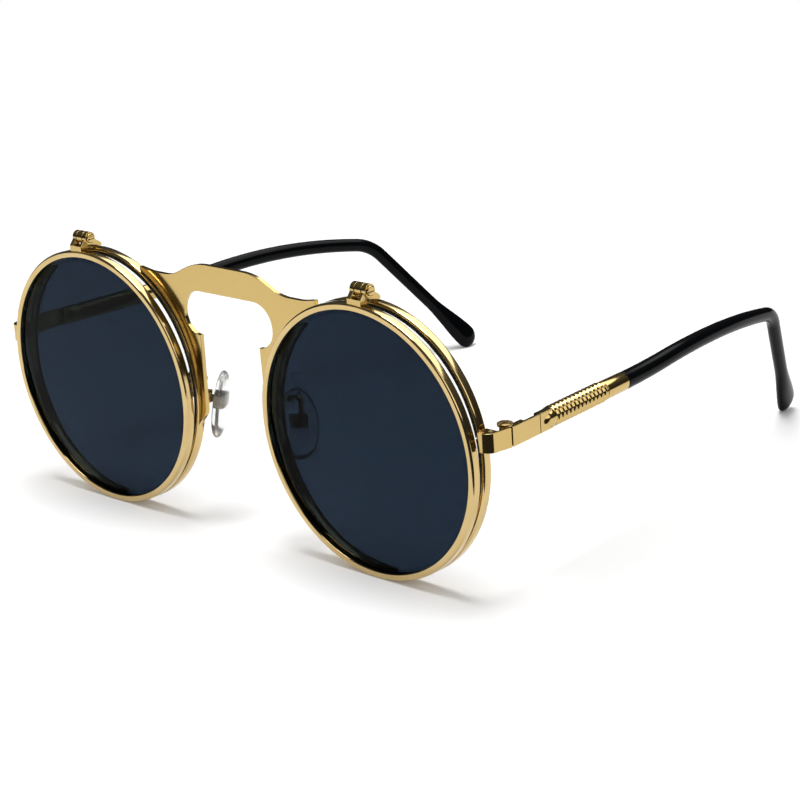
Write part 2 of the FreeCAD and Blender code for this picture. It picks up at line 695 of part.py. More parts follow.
def make_flip_brackets():
    """A saddle on each flip rim, with an ear each side of the lug, and the hinge screw.

    The two hinges are alike and not mirrored: both screws have their heads on the right.
    """
    room = "lug_side + knuckle_gap"
    saddle_top = "0 - flip_barrel_radius - saddle_gap"
    for name, side in (("right", 1), ("left", -1)):
        hinge = at(Vector(side * FLIP_AXIS.x, FLIP_AXIS.y, FLIP_AXIS.z))
        lens = at(Vector(side * LENS_HALF, 0, LENS_Z), Rotation(AXIS_X, size("flip_lean_angle")))
        across = turned_to(hinge, AXIS_Z, AXIS_X)
        barrel = both_ways("ear_barrel_" + name, "flip_barrel_radius", FLIP_SIDE, across)
        saddle = extruded("saddle_" + name, "YZ_Plane", [
            ("0 - foot_front", FOOT_LOW),
            ("0 - foot_rear", FOOT_LOW),
            ("0 - foot_rear", "0"),
            ("0", "0"),
            ("0", "flip_barrel_radius"),
            ("0 - foot_front", saddle_top),
        ], "foot_left + foot_right", moved(hinge, x=total("foot_right - foot_left") / 2))
        gap = block("lug_room_" + name,
                    (minus(room), "0 - flip_barrel_radius - foot_front", saddle_top),
                    (room, "flip_barrel_radius + foot_front", minus(saddle_top)), hinge)
        hole = both_ways("ear_hole_" + name, "flip_pin_radius + thread_play", FLIP_SIDE, across)
        keep(cut("flip_bracket_" + name, fused("bracket_blank_" + name, barrel, saddle), gap,
                 rim_space("bracket_seat_" + name, lens), hole), "flip_bracket_" + name)
        seat = turned_to(moved(hinge, x=total(FLIP_SIDE)), AXIS_Y, AXIS_X)
        keep(screw("flip_pin_" + name, "flip_pin_radius", twice(FLIP_SIDE),
                   "flip_head_radius", "flip_head_height", seat), "flip_screw_" + name)


# Endpieces
INNER_CORNER = "endpiece_reach + slant_corner - slant_wall"
FRONT_LEG_BACK = "strip_thickness - endpiece_front"


def make_endpieces():
    """A bent strip at each side, on a closing block whose screw draws the fixed rim shut."""
    strip = extruded("endpiece", "XY_Plane", [
        ("flip_side_clearance", "0 - endpiece_front"),
        ("endpiece_reach", "0 - endpiece_front", "endpiece_radius"),
        ("endpiece_reach + slant_spread", "endpiece_back"),
        ("endpiece_reach + slant_spread - slant_wall", "endpiece_back"),
        (INNER_CORNER, FRONT_LEG_BACK, "endpiece_radius - strip_thickness"),
        ("flip_side_clearance", FRONT_LEG_BACK),
    ], twice("strip_half"), CORNER)
    keep_pair(strip, "endpiece")

    outline = [
        ("flip_side_clearance", FRONT_LEG_BACK + " + solder_gap"),
        (INNER_CORNER + " - solder_gap", FRONT_LEG_BACK + " + solder_gap",
         "endpiece_radius - strip_thickness - solder_gap"),
        ("endpiece_reach + slant_block - slant_wall - solder_gap", "base_rim_depth"),
        ("0 - rim_wall", "base_rim_depth"),
        ("0 - rim_wall", "0"),
        ("flip_side_clearance", "0"),
    ]
    screw_place = moved(CORNER, x=size("block_screw_out"), y=size("base_rim_depth") / 2)
    for name, level in (("upper", total("split_half")), ("lower", total("0 - split_half - block_height"))):
        half = extruded("block_" + name, "XY_Plane", outline, "block_height",
                        moved(CORNER, z=level), midplane=False)
        hole = both_ways("block_hole_" + name, "block_pin_radius + thread_play",
                         "split_half + block_height + block_height", screw_place)
        keep_pair(cut("closing_block_" + name, half, rim_space("block_seat_" + name, BASE_LENS), hole),
                  "closing_block_" + name)
    seat = turned_to(moved(screw_place, z=-total("split_half + block_height")), AXIS_Y, AXIS_Z * -1)
    keep_group(screw("closing_pin", "block_pin_radius", twice("split_half + block_height"),
                     "block_head_radius", "block_head_height", seat), "closing_screws")


# Temple hinges
HINGE_HALF = "strip_half + hinge_margin"
LEAF_OUT = "hinge_barrel_radius + hinge_gap - solder_gap"
LEAF_START = "hinge_barrel_radius + knuckle_room + hinge_gap"


def make_temple_hinges():
    """Two knuckles on each endpiece, one on the temple between them, and a screw from above."""
    barrel = both_ways("front_barrel", "hinge_barrel_radius", HINGE_HALF, FRONT_HINGE)
    leaf = block("front_leaf", ("leaf_inset", "0 - front_leaf", minus(HINGE_HALF)),
                 (LEAF_OUT, "0", HINGE_HALF), FRONT_HINGE)
    room = both_ways("front_room", "hinge_barrel_radius + knuckle_room", "knuckle_half + knuckle_gap",
                     FRONT_HINGE)
    hole = both_ways("front_hole", "hinge_pin_radius + thread_play", twice(HINGE_HALF), FRONT_HINGE)
    keep_pair(cut("front_hinge", fused("front_hinge_blank", barrel, leaf), room, hole), "front_hinge")

    knuckle = both_ways("temple_knuckle", "hinge_barrel_radius", "knuckle_half", TEMPLE)
    web = block("temple_web", ("leaf_inset", "0", "0 - knuckle_half"),
                (LEAF_OUT, LEAF_START + " + hinge_gap", "knuckle_half"), TEMPLE)
    leaf = block("temple_leaf", ("leaf_inset", LEAF_START, "0 - strip_half"),
                 (LEAF_OUT, "temple_leaf", "strip_half"), TEMPLE)
    hole = both_ways("temple_hole", "hinge_pin_radius + running_play", HINGE_HALF, TEMPLE)
    keep_pair(cut("temple_hinge", fused("temple_hinge_blank", knuckle, web, leaf), hole), "temple_hinge")

    seat = turned_to(moved(TEMPLE, z=total(HINGE_HALF)), AXIS_Y, AXIS_Z)
    keep_group(screw("temple_pin", "hinge_pin_radius", twice(HINGE_HALF),
                     "hinge_head_radius", "hinge_head_height", seat, crossed=True), "temple_screws")


# Temples
def make_shaft():
    """A flat tang that runs out into a round shaft with turned grooves along it."""
    place = moved(TEMPLE, x=SHAFT_X, y=RIB_START)
    rod = turned("shaft_rod", [
        ("0", "0 - scoop_length"),
        ("shaft_radius - scoop_drop", "0 - scoop_length"),
        ("shaft_radius", "0"),
        ("shaft_radius", "rib_length - shaft_bevel"),
        ("shaft_radius - shaft_bevel", "rib_length"),
        ("0", "rib_length"),
    ], place)
    doc.recompute()
    plain = rod.Shape.Volume
    notch = rounded_outline(rod, "rib_notch", "XY_Plane", [
        ("shaft_radius - rib_depth", "rib_margin"),
        ("shaft_radius + rib_depth", "rib_margin - rib_half - rib_half"),
        ("shaft_radius + rib_depth", "rib_margin + rib_half + rib_half"),
    ])
    groove = rod.newObject("PartDesign::Groove", "rib_groove")
    groove.Profile = notch
    groove.ReferenceAxis = (notch, ["V_Axis"])
    groove.Angle = 360
    doc.recompute()
    once = plain - rod.Shape.Volume
    pattern = rod.newObject("PartDesign::LinearPattern", "rib_grooves")
    pattern.Originals = [groove]
    pattern.Direction = (origin_part(rod, "Y_Axis"), [""])
    pattern.Mode = "Spacing"
    bind(pattern, Offset="rib_pitch")
    count = int(total("rib_length - rib_margin - rib_margin") / size("rib_pitch") + 0.001) + 1
    pattern.Occurrences = count
    rod.Tip = pattern
    doc.recompute()
    print("grooves cut in a shaft: %.2f of %d" % ((plain - rod.Shape.Volume) / once, count))

    tang = block("shaft_tang", ("0 - tang_thickness", "0 - tang_length", "0 - strip_half"),
                 ("0", "0", "strip_half"), moved(TEMPLE, x=STRIP_OUT, y=RIB_START))
    bore_place = moved(TEMPLE, x=SHAFT_X, y=RIB_END - total("core_in_shaft + core_fit"))
    bore = cylinder("shaft_bore", "core_radius + core_fit", "core_in_shaft + core_in_shaft",
                    turned_to(bore_place, AXIS_Z, AXIS_Y))
    keep_pair(cut("temple_shaft", fused("shaft_blank", rod, tang), bore), "temple_shaft")


END_ROUNDING = (25, 45, 62, 76, 86)


def tip_sections():
    """Elliptic sections along a tip: round at the ferrule, oval over the ear, broad at the end."""
    sections = []

    def add(place, heading, side, wide, thick):
        turn = Rotation(side.cross(heading), side, heading, "ZXY")
        spot = TEMPLE.multiply(Placement(place, turn))
        sections.append(ellipse("tip_section_%d" % len(sections), wide, thick, spot))

    start = Vector(SHAFT_X, TIP_START, 0)
    add(start, AXIS_Y, AXIS_X, size("tip_start_half"), size("tip_start_half"))
    rise_share = size("rise_length") / total("rise_length + side_length")
    stations = [(share * rise_share, 0.0, place, heading) for share, place, heading in TIP.rise_stations]
    for share, place, heading in TIP.side_stations:
        stations.append((rise_share + share * (1 - rise_share), share, place, heading))
    for taper, roll, place, heading in stations:
        side = TIP.side_axis(heading, size("ear_roll_angle") * roll)
        add(place, heading, side,
            size("tip_start_half") + taper * total("tip_height_half - tip_start_half"),
            size("tip_start_half") + taper * total("tip_side_half - tip_start_half"))
    for share, place, heading in TIP.ear_stations:
        wide = size("tip_height_half") + share * total("hook_half - tip_height_half")
        thick = size("tip_side_half") + share * total("hook_side_half - tip_side_half")
        add(place, heading, TIP.side, wide, thick)
    count = round(TIP.run / TIP.spacing)
    for step in range(1, count + 1):
        left = TIP.run * (1 - step / count)
        share = max(0.0, 1 - left / size("paddle_length"))
        swell = total("paddle_half - hook_half") * share * share * (3 - 2 * share)
        add(TIP.end_middle - TIP.heading * left, TIP.heading, TIP.side,
            size("hook_half") + swell, size("hook_side_half"))
    for angle in END_ROUNDING:
        spot = TIP.end_middle + TIP.heading * (size("paddle_half") * math.sin(math.radians(angle)))
        shrink = math.cos(math.radians(angle))
        add(spot, TIP.heading, TIP.side, size("paddle_half") * shrink, size("hook_side_half") * shrink)
    return sections


def make_temples():
    """A flat plate, a ribbed shaft, a ferrule and a tip bent over the ear, on one wire core."""
    plate = extruded("temple_plate", "YZ_Plane", [
        (PLATE_FRONT, "0 - strip_half", "plate_radius"),
        (PLATE_FRONT + " + plate_length", "0 - strip_half"),
        (PLATE_FRONT + " + plate_length", "strip_half"),
        (PLATE_FRONT, "strip_half", "plate_radius"),
    ], "strip_thickness", moved(TEMPLE, x=STRIP_IN), midplane=False)
    keep_pair(plate, "temple_plate")
    make_shaft()
    bore = "core_radius + core_fit"
    keep_pair(turned("ferrule", [
        (bore, "0"),
        ("ferrule_radius - ferrule_bevel", "0"),
        ("ferrule_radius", "ferrule_bevel"),
        ("ferrule_radius", "ferrule_length - ferrule_bevel"),
        ("ferrule_radius - ferrule_bevel", "ferrule_length"),
        (bore, "ferrule_length"),
    ], moved(TEMPLE, x=SHAFT_X, y=FERRULE_START)), "ferrule")
    core_length = "core_in_shaft + solder_gap + ferrule_length + solder_gap + core_in_tip"
    core_place = moved(TEMPLE, x=SHAFT_X, y=RIB_END - size("core_in_shaft"))
    keep_pair(cylinder("core", "core_radius", core_length, turned_to(core_place, AXIS_Z, AXIS_Y)),
              "core_wire")
    socket = cylinder("tip_socket", bore, core_length + " + core_fit",
                      turned_to(core_place, AXIS_Z, AXIS_Y))
    keep_pair(cut("temple_tip", lofted("tip_blank", tip_sections()), socket), "temple_tip")


# Nose pads
PAD_SWELL = ((0.0, 0.86), (0.2, 0.97), (0.5, 1.0), (0.8, 0.86), (1.0, 0.45))
CUP_HALF = "tab_half + cup_play + cup_wall"
CUP_BACK = "tab_radius + cup_play + cup_wall"


def make_pads():
    """Pads that rock on a screw: a metal insert in each pad ends in a tab that sits in a cup."""
    sections = []
    for share, scale in PAD_SWELL:
        spot = moved(PAD, x=size("pad_standoff") + share * size("pad_thickness"), z=-size("pad_drop"))
        spot = spot.multiply(Placement(ORIGIN, Rotation(AXIS_Z, AXIS_Y * -1, AXIS_X, "ZXY")))
        sections.append(ellipse("pad_section_%d" % len(sections), scale * size("pad_half_height"),
                                scale * size("pad_half_width"), spot))
    fit = " + insert_fit"
    pocket = block("insert_pocket",
                   ("0", minus("insert_half_width" + fit), minus("insert_half_height" + fit)),
                   ("pad_standoff + insert_depth" + fit, "insert_half_width" + fit,
                    "insert_half_height" + fit), PAD)
    keep_pair(cut("nose_pad", lofted("pad_blank", sections), pocket), "nose_pad")

    hinge = turned_to(PAD, AXIS_Z, AXIS_Y)
    plate = block("insert_plate", ("pad_standoff", "0 - insert_half_width", "0 - insert_half_height"),
                  ("pad_standoff + insert_depth", "insert_half_width", "insert_half_height"), PAD)
    neck = block("insert_neck", ("0", "0 - tab_half", "0 - tab_half"),
                 ("pad_standoff + insert_depth", "tab_half", "tab_half"), PAD)
    eye = both_ways("insert_eye", "tab_radius", "tab_half", hinge)
    hole = both_ways("insert_hole", "pad_pin_radius + running_play", CUP_HALF, hinge)
    keep_pair(cut("pad_insert", fused("insert_blank", plate, neck, eye), hole), "pad_insert")

    cup = block("cup_blank", (minus(CUP_BACK), minus(CUP_HALF), "0 - cup_half_height"),
                ("cup_front", CUP_HALF, "cup_half_height"), PAD)
    room = block("cup_room", ("0 - tab_radius - cup_play", "0 - tab_half - cup_play",
                              "0 - cup_half_height - cup_wall"),
                 ("cup_front + cup_wall", "tab_half + cup_play", "cup_half_height + cup_wall"), PAD)
    hole = both_ways("cup_hole", "pad_pin_radius + thread_play", twice(CUP_HALF), hinge)
    keep_pair(cut("pad_cup", cup, room, hole), "pad_cup")
    seat = moved(PAD, y=total(CUP_HALF))
    keep_group(screw("pad_pin", "pad_pin_radius", twice(CUP_HALF), "pad_head_radius",
                     "pad_head_height", seat), "pad_screws")
    make_pad_arms()


def bent_wire(points, bend, radius):
    """A round wire along straight runs, each corner rounded by a tangent arc."""
    edges = []
    start = points[0]
    for before, corner, after in zip(points, points[1:], points[2:]):
        back = (before - corner).normalize()
        ahead = (after - corner).normalize()
        half = back.getAngle(ahead) / 2
        reach = bend / math.tan(half)
        middle = corner + (back + ahead).normalize() * (bend / math.sin(half))
        crown = middle + (corner - middle).normalize() * bend
        edges.append(Part.LineSegment(start, corner + back * reach).toShape())
        edges.append(Part.Arc(corner + back * reach, crown, corner + ahead * reach).toShape())
        start = corner + ahead * reach
    edges.append(Part.LineSegment(start, points[-1]).toShape())
    spine = Part.Wire(edges)
    section = Part.Wire(Part.Circle(points[0], points[1] - points[0], radius).toShape())
    return spine.makePipeShell([section], True, False)


def make_pad_arms():
    """A bent wire from the back of each fixed rim to the back of a pad cup."""
    middle_radius = total("rim_outer_radius + lens_opening_radius") / 2
    rise = size("arm_root_rise")
    root_x = LENS_HALF - math.sqrt(middle_radius ** 2 - rise ** 2)
    root = Vector(root_x, BASE_BACK + size("solder_gap"), LENS_Z + rise) + SHIFT
    end = PAD.multVec(Vector(-total(CUP_BACK + " + solder_gap"), 0, 0))
    before_end = PAD.multVec(Vector(-total(CUP_BACK + " + arm_end_run"), 0, 0))
    back = root + Vector(0, size("arm_loop_back"), 0)
    over = Vector(before_end.x, before_end.y, root.z + size("arm_loop_rise"))
    wire = doc.addObject("Part::Feature", "pad_arm")
    wire.Shape = bent_wire([root, back, over, before_end, end], size("arm_bend"), size("arm_radius"))
    keep_pair(wire, "pad_arm")


make_rims()
make_bridge()
make_hinge_lugs()
make_flip_brackets()
make_endpieces()
make_temple_hinges()
make_temples()
make_pads()
doc.recompute()

failed = [thing.Name for thing in doc.Objects if {"Invalid", "Error"} & set(thing.State)]
if failed:
    raise RuntimeError("failed features: " + ", ".join(failed))
for node in nodes:
    if node.Shape.isNull() or not node.Shape.isValid() or node.Shape.Volume <= 0:
        raise RuntimeError("no sound solid: " + node.Label)
os.makedirs("parts", exist_ok=True)
for node in nodes:
    node.Shape.exportStep("parts/%s.step" % node.Label)
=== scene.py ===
"""Looks of the flip-up sunglasses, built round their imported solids.

Everything is in metres in the solids' frame: +X right seen from the front, the front faces -Y, +Z up.
"""

import json
import math

import bmesh
import bpy
import numpy as np
from bpy.props import FloatProperty, FloatVectorProperty, IntProperty, PointerProperty
from mathutils import Matrix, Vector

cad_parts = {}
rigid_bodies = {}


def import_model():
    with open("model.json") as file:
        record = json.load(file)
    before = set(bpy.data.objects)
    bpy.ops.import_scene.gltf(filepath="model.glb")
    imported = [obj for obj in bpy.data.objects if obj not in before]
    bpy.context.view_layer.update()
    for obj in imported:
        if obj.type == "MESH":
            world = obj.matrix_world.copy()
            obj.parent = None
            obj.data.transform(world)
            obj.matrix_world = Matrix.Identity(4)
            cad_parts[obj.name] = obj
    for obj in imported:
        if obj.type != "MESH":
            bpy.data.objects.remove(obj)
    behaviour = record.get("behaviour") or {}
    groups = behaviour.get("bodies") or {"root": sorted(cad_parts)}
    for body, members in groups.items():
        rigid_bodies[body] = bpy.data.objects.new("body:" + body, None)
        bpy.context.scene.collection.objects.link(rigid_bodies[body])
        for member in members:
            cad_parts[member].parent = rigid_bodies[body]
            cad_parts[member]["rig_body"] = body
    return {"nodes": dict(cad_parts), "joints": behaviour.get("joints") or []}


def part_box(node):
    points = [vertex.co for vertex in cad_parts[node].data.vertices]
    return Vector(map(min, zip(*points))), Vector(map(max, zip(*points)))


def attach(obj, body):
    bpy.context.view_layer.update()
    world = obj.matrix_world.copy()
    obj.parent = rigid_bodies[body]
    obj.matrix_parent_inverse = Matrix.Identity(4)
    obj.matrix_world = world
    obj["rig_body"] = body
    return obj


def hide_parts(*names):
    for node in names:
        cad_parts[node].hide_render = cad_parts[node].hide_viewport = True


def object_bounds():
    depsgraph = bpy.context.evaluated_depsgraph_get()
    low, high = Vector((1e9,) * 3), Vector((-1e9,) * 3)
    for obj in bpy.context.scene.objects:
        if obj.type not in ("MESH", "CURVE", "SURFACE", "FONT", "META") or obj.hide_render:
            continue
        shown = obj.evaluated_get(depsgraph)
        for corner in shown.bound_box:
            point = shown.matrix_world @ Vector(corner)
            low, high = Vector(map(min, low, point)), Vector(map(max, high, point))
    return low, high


bl_info = {
    "name": "Flip-up sunglasses",
    "version": (1, 0, 0),
    "blender": (4, 5, 0),
    "location": "3D View > Sidebar > Sunglasses",
    "description": "Round wire sunglasses with dark lenses that flip up",
    "category": "Object",
}

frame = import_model()
CAD_LOW, CAD_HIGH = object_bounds()
SIDES = {"right": 1.0, "left": -1.0}
JOINTS = {joint["name"]: joint for joint in frame["joints"]}
RIM_LOW, RIM_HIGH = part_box("base_rim_right")
FLIP_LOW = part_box("flip_rim_right")[0]
UP = np.array((0.0, 0.0, 1.0))
WHITE = (1.0, 1.0, 1.0, 1.0)
BLACK = (0.0, 0.0, 0.0, 1.0)
# In a copy of a solid, points nearer than this are one point, and facets within this angle one face.
MERGE_DISTANCE = 1e-6
FLAT_ANGLE = math.radians(0.5)


def length(label, about, default):
    """A length in metres."""
    return FloatProperty(name=label, description=about, default=default, unit="LENGTH", precision=5)


def angle(label, about, degrees):
    """An angle, given in degrees and kept in radians."""
    return FloatProperty(name=label, description=about, default=math.radians(degrees), unit="ROTATION")


def place(label, about, default):
    """A point in metres."""
    return FloatVectorProperty(name=label, description=about, default=default, subtype="TRANSLATION",
                               unit="LENGTH")


def colour(label, about, default):
    """A scene-linear colour."""
    return FloatVectorProperty(name=label, description=about, default=default, subtype="COLOR",
                               min=0.0, max=1.0)


def count(label, about, default):
    """A number of steps."""
    return IntProperty(name=label, description=about, default=default, min=8)


class FrontSettings(bpy.types.PropertyGroup):
    """Rims, lenses and the edges of the stamped pieces"""
    rim_inside: length("Rim inside", "Radius of a rim's opening", 0.025)
    rim_outside: length("Rim outside", "Outer radius of a rim", (RIM_HIGH.x - RIM_LOW.x) / 2)
    rim_depth: length("Fixed rim depth", "Front to back of a fixed rim", RIM_HIGH.y - RIM_LOW.y)
    flip_depth: length("Flip rim depth", "Front to back of a flip rim", 0.00195)
    flip_lean: angle("Flip lean", "Forward lean of a closed flip rim", 1.9)
    flip_bevel: length("Flip bevel", "Bevelled front edge of a flip rim's solid", 0.0002)
    outer_rounding: length("Outer rounding", "Rounded outer edges of a rim", 0.00042)
    inner_rounding: length("Inner rounding", "Rounded inner edges of a rim", 0.00018)
    groove_land: length("Groove land", "Front of a rim to its lens groove", 0.001)
    groove_width: length("Groove width", "Mouth of the lens groove", 0.0007)
    groove_depth: length("Groove depth", "Depth of the lens groove", 0.00055)
    groove_edge: length("Groove edge", "Rounded edges of the lens groove", 0.00003)
    groove_root: length("Groove root", "Rounded root of the lens groove", 0.00005)
    lens_fit: length("Lens fit", "Play of a lens in its groove", 0.00005)
    lens_step: length("Lens step", "Lens face beyond its edge bevel", 0.00015)
    lens_crown: length("Lens crown", "How far a lens bulges forward", 0.0002)
    split_rise: length("Split rise", "Split of a fixed rim above its middle", 0.0049)
    split_width: length("Split width", "Width of the split in a fixed rim", 0.00024)
    rim_steps: count("Rim steps", "Steps round a rim", 240)
    lens_steps: count("Lens steps", "Steps from a lens' middle to its edge", 24)
    edge_softness: length("Edge softness", "Rounded edges of the stamped pieces", 0.00009)
    screw_softness: length("Screw softness", "Rounded edges of the screws", 0.00004)
    crease: angle("Crease", "Edges sharper than this are rounded", 32.0)


class TempleSettings(bpy.types.PropertyGroup):
    """Metal stretch of the temples, from the hinge to the ferrule"""
    toe: angle("Toe", "Inward heading of an open temple", 3.7)
    shaft_side: length("Shaft side", "Shaft's middle outward of the hinge axis", 0.00075)
    rib_start: length("Rib start", "Hinge axis to the ribbed stretch", 0.01152)
    rib_length: length("Rib length", "Ribbed stretch of a shaft", 0.0162)
    rib_margin: length("Rib margin", "Shaft's end to its first groove", 0.00043)
    rib_pitch: length("Rib pitch", "One groove to the next", 0.00118)
    rib_depth: length("Rib depth", "Grooves between the ribs", 0.0003)
    rib_steps: count("Rib steps", "Steps along the ribbed stretch", 420)
    shaft_radius: length("Shaft radius", "Ribbed shaft", 0.00195)
    shaft_bevel: length("Shaft bevel", "Bevelled end of a shaft", 0.0002)
    scoop_length: length("Scoop length", "Run-out of a shaft into its tang", 0.0026)
    scoop_drop: length("Scoop drop", "Fall of the run-out", 0.0009)
    tang_length: length("Tang length", "Flat tang in front of the ribs", 0.0036)
    tang_outside: length("Tang outside", "Tang's outer face outward of the hinge axis", 0.00175)
    tang_thickness: length("Tang thickness", "Flat tang", 0.0015)
    tang_half: length("Tang half height", "Half the height of a tang", 0.0018)
    tang_inner_rounding: length("Tang inner rounding", "Rounded inner edges of a tang", 0.0002)
    tang_outer_rounding: length("Tang outer rounding", "Rounded outer edges of a tang", 0.00012)
    tang_crease: angle("Tang crease", "Edges of a tang sharper than this stay sharp", 40.0)
    ferrule_radius: length("Ferrule radius", "Plain ferrule", 0.0018)
    ferrule_length: length("Ferrule length", "Plain ferrule", 0.0065)
    ferrule_bore: length("Ferrule bore", "Radius inside a ferrule", 0.00058)
    ferrule_rounding: length("Ferrule rounding", "Rounded outer edges of a ferrule", 0.00015)
    bore_rounding: length("Bore rounding", "Rounded inner edges of a ferrule", 0.00004)
    joint_line: length("Joint line", "Gap between neighbouring pieces", 0.00003)
    turn_steps: count("Turn steps", "Steps round a turned piece", 64)


class TipSettings(bpy.types.PropertyGroup):
    """Black tips of the temples"""
    start: length("Start", "Half the width of a tip at its ferrule", 0.00175)
    height: length("Height", "Half the height of a tip before its bend", 0.0015)
    side: length("Side", "Half the thickness of a tip before its bend", 0.0013)
    hook: length("Hook", "Half the width of a tip below its bend", 0.00155)
    hook_side: length("Hook side", "Half the thickness of a tip below its bend", 0.00125)
    paddle: length("Paddle", "Half the width of a tip's broad end", 0.0028)
    paddle_length: length("Paddle length", "Broad end of a tip", 0.013)
    rise_length: length("Rise length", "Rising start of a tip", 0.014)
    rise: angle("Rise", "Rise of a tip at its start", 4.0)
    side_length: length("Side length", "Long curve of a tip", 0.041)
    curve: angle("Curve", "Inward turn of the long curve", 8.4)
    fall: angle("Fall", "Downward turn of the long curve", 15.2)
    ear_radius: length("Ear radius", "Radius of the ear bend", 0.0105)
    ear_angle: angle("Ear angle", "Turn of the ear bend", 40.2)
    ear_roll: angle("Ear roll", "Inward lean of the ear bend", 16.0)
    steps: count("Steps", "Steps along each stretch of a tip", 40)
    end_steps: count("End steps", "Steps over a tip's rounded end", 14)
    around: count("Around", "Steps round a tip", 40)


class PadSettings(bpy.types.PropertyGroup):
    """Nose pads"""
    splay: angle("Splay", "Pad turned back from the side", 35.0)
    slope: angle("Slope", "Pad's bottom leaning outward", 11.0)
    half_height: length("Half height", "Half the height of a pad", 0.007)
    half_width: length("Half width", "Half the width of a pad", 0.004)
    thickness: length("Thickness", "Thickness of a pad", 0.0026)
    standoff: length("Standoff", "Pivot to the back of a pad", 0.0015)
    drop: length("Drop", "Middle of a pad below its pivot", 0.001)
    around: count("Around", "Steps round a pad", 64)


class FinishSettings(bpy.types.PropertyGroup):
    """Colours of the finishes"""
    gold: colour("Gold", "Polished gold plating", (0.58, 0.42, 0.158))
    gold_deep: colour("Deep gold", "Gold where the polish is thin", (0.55, 0.39, 0.15))
    # Painted highlight: the rims' gold is lighter and less saturated than the rest, for their cream
    # highlights and to tone down gold reflected in gold.
    rim_highlight_gold: colour("Pale gold", "Paler gold of the rims", (0.67, 0.515, 0.265))
    screw: colour("Screw", "Browned screw heads", (0.25, 0.165, 0.09))
    steel: colour("Steel", "Pad inserts and temple cores", (0.2, 0.175, 0.135))
    tint_top: colour("Tint, top", "Dark lens at its top", (0.010, 0.0185, 0.032))
    tint_low: colour("Tint, bottom", "Dark lens at its bottom", (0.013, 0.024, 0.043))
    clear: colour("Clear lens", "Faint body of the clear lenses", (0.06, 0.066, 0.066))
    pad: colour("Pad", "Clear nose pads", (0.9, 0.92, 0.91))
    pad_light: colour("Light pad", "Clear nose pads where they are clearest", (0.99, 0.99, 0.98))
    tip: colour("Tip", "Black temple tips", (0.0012, 0.0014, 0.0017))


class StageSettings(bpy.types.PropertyGroup):
    """Camera, light and floor"""
    focal: FloatProperty(name="Focal length", description="Camera lens, in millimetres", default=104.73,
                         unit="CAMERA")
    azimuth: angle("Azimuth", "Camera round the object from the front", 44.52)
    elevation: angle("Elevation", "Camera above the horizon", 18.04)
    roll: angle("Roll", "Turn of the camera about its line of sight", -4.07)
    distance: length("Distance", "Camera from its target", 0.4664)
    target_side: length("Target side", "Camera target to the right", 0.00771)
    target_back: length("Target back", "Camera target behind the flip rims", 0.03994)
    target_rise: length("Target rise", "Camera target above the floor", 0.01812)
    daylight: FloatProperty(name="Daylight", description="Even light from all round", default=0.5, min=0.0)
    lamp_place: place("Lamp place", "Soft lamp over the lenses", (-0.04, -0.05, 1.25))
    lamp_aim: place("Lamp aim", "Point that the lamp faces", (0.0, -0.05, 0.0))
    lamp_size: length("Lamp size", "Side of the lamp", 0.6)
    lamp_power: FloatProperty(name="Lamp power", description="Power of the lamp", default=12.0,
                              unit="POWER")
    floor_size: length("Floor", "Side of the floor", 12.0)
    floor_shade: FloatProperty(name="Floor shade", description="Pale grey of the floor", default=0.93,
                               min=0.0, max=1.0)
    floor_near: length("Floor near", "Distance where the floor starts to turn white", 0.17)
    floor_far: length("Floor far", "Distance where the floor is white", 0.5)


class SunglassesSettings(bpy.types.PropertyGroup):
    """All settings of the sunglasses"""
    front: PointerProperty(type=FrontSettings)
    temple: PointerProperty(type=TempleSettings)
    tip: PointerProperty(type=TipSettings)
    pad: PointerProperty(type=PadSettings)
    finish: PointerProperty(type=FinishSettings)
    stage: PointerProperty(type=StageSettings)


# Surfaces
def unit(vectors):
    """Vectors divided by their lengths."""
    return vectors / np.linalg.norm(vectors, axis=-1, keepdims=True)


def turn(axis, radians):
    """The matrix that turns by an angle about an axis."""
    return np.array(Matrix.Rotation(radians, 3, axis))


def turns(axis, radians):
    """Rodrigues' matrices for many angles: I + sin(a) K + (1 - cos(a)) K K, K the axis' cross matrix."""
    x, y, z = axis
    cross = np.array(((0, -z, y), (z, 0, -x), (-y, x, 0)))
    radians = np.asarray(radians)[:, None, None]
    return np.eye(3) + np.sin(radians) * cross + (1 - np.cos(radians)) * (cross @ cross)


def rounded(corners, steps=6):
    """A closed outline whose corners (x, y, radius) are circular arcs, tangent to both sides.

    An arc's centre lies radius / sin(half the corner) from the corner, on the line that halves it.
    """
    corners = np.asarray(corners, float)
    spots, radii = corners[:, :2], corners[:, 2:]
    back = unit(np.roll(spots, 1, axis=0) - spots)
    ahead = unit(np.roll(spots, -1, axis=0) - spots)
    half = np.arccos(np.clip((back * ahead).sum(1, keepdims=True), -1, 1)) / 2
    middles = spots + unit(back + ahead) * radii / np.sin(half)
    first = spots + back * radii / np.tan(half) - middles
    last = spots + ahead * radii / np.tan(half) - middles
    share = np.linspace(0, 1, steps)[:, None]
    spokes = unit(first[:, None] * (1 - share) + last[:, None] * share)
    return (middles[:, None] + spokes * radii[:, None]).reshape(-1, 2)


def quads(rows, columns, close_rows, close_columns):
    """Corner numbers of the quads on a grid of points, wrapped round where it is closed."""
    row = np.arange(rows if close_rows else rows - 1)
    column = np.arange(columns if close_columns else columns - 1)
    row, column = (part.ravel() for part in np.meshgrid(row, column, indexing="ij"))
    after, beside = (row + 1) % rows, (column + 1) % columns
    return np.stack((row * columns + column, after * columns + column,
                     after * columns + beside, row * columns + beside), axis=1).tolist()


def pole_fans(steps, columns):
    """Triangles from the first and last column of a closed grid to its two poles."""
    row = np.arange(steps) * columns
    after = np.roll(row, -1)
    first = np.stack((row, np.full(steps, steps * columns), after), axis=1)
    last = np.stack((row + columns - 1, after + columns - 1, np.full(steps, steps * columns + 1)), axis=1)
    return first.tolist() + last.tolist()


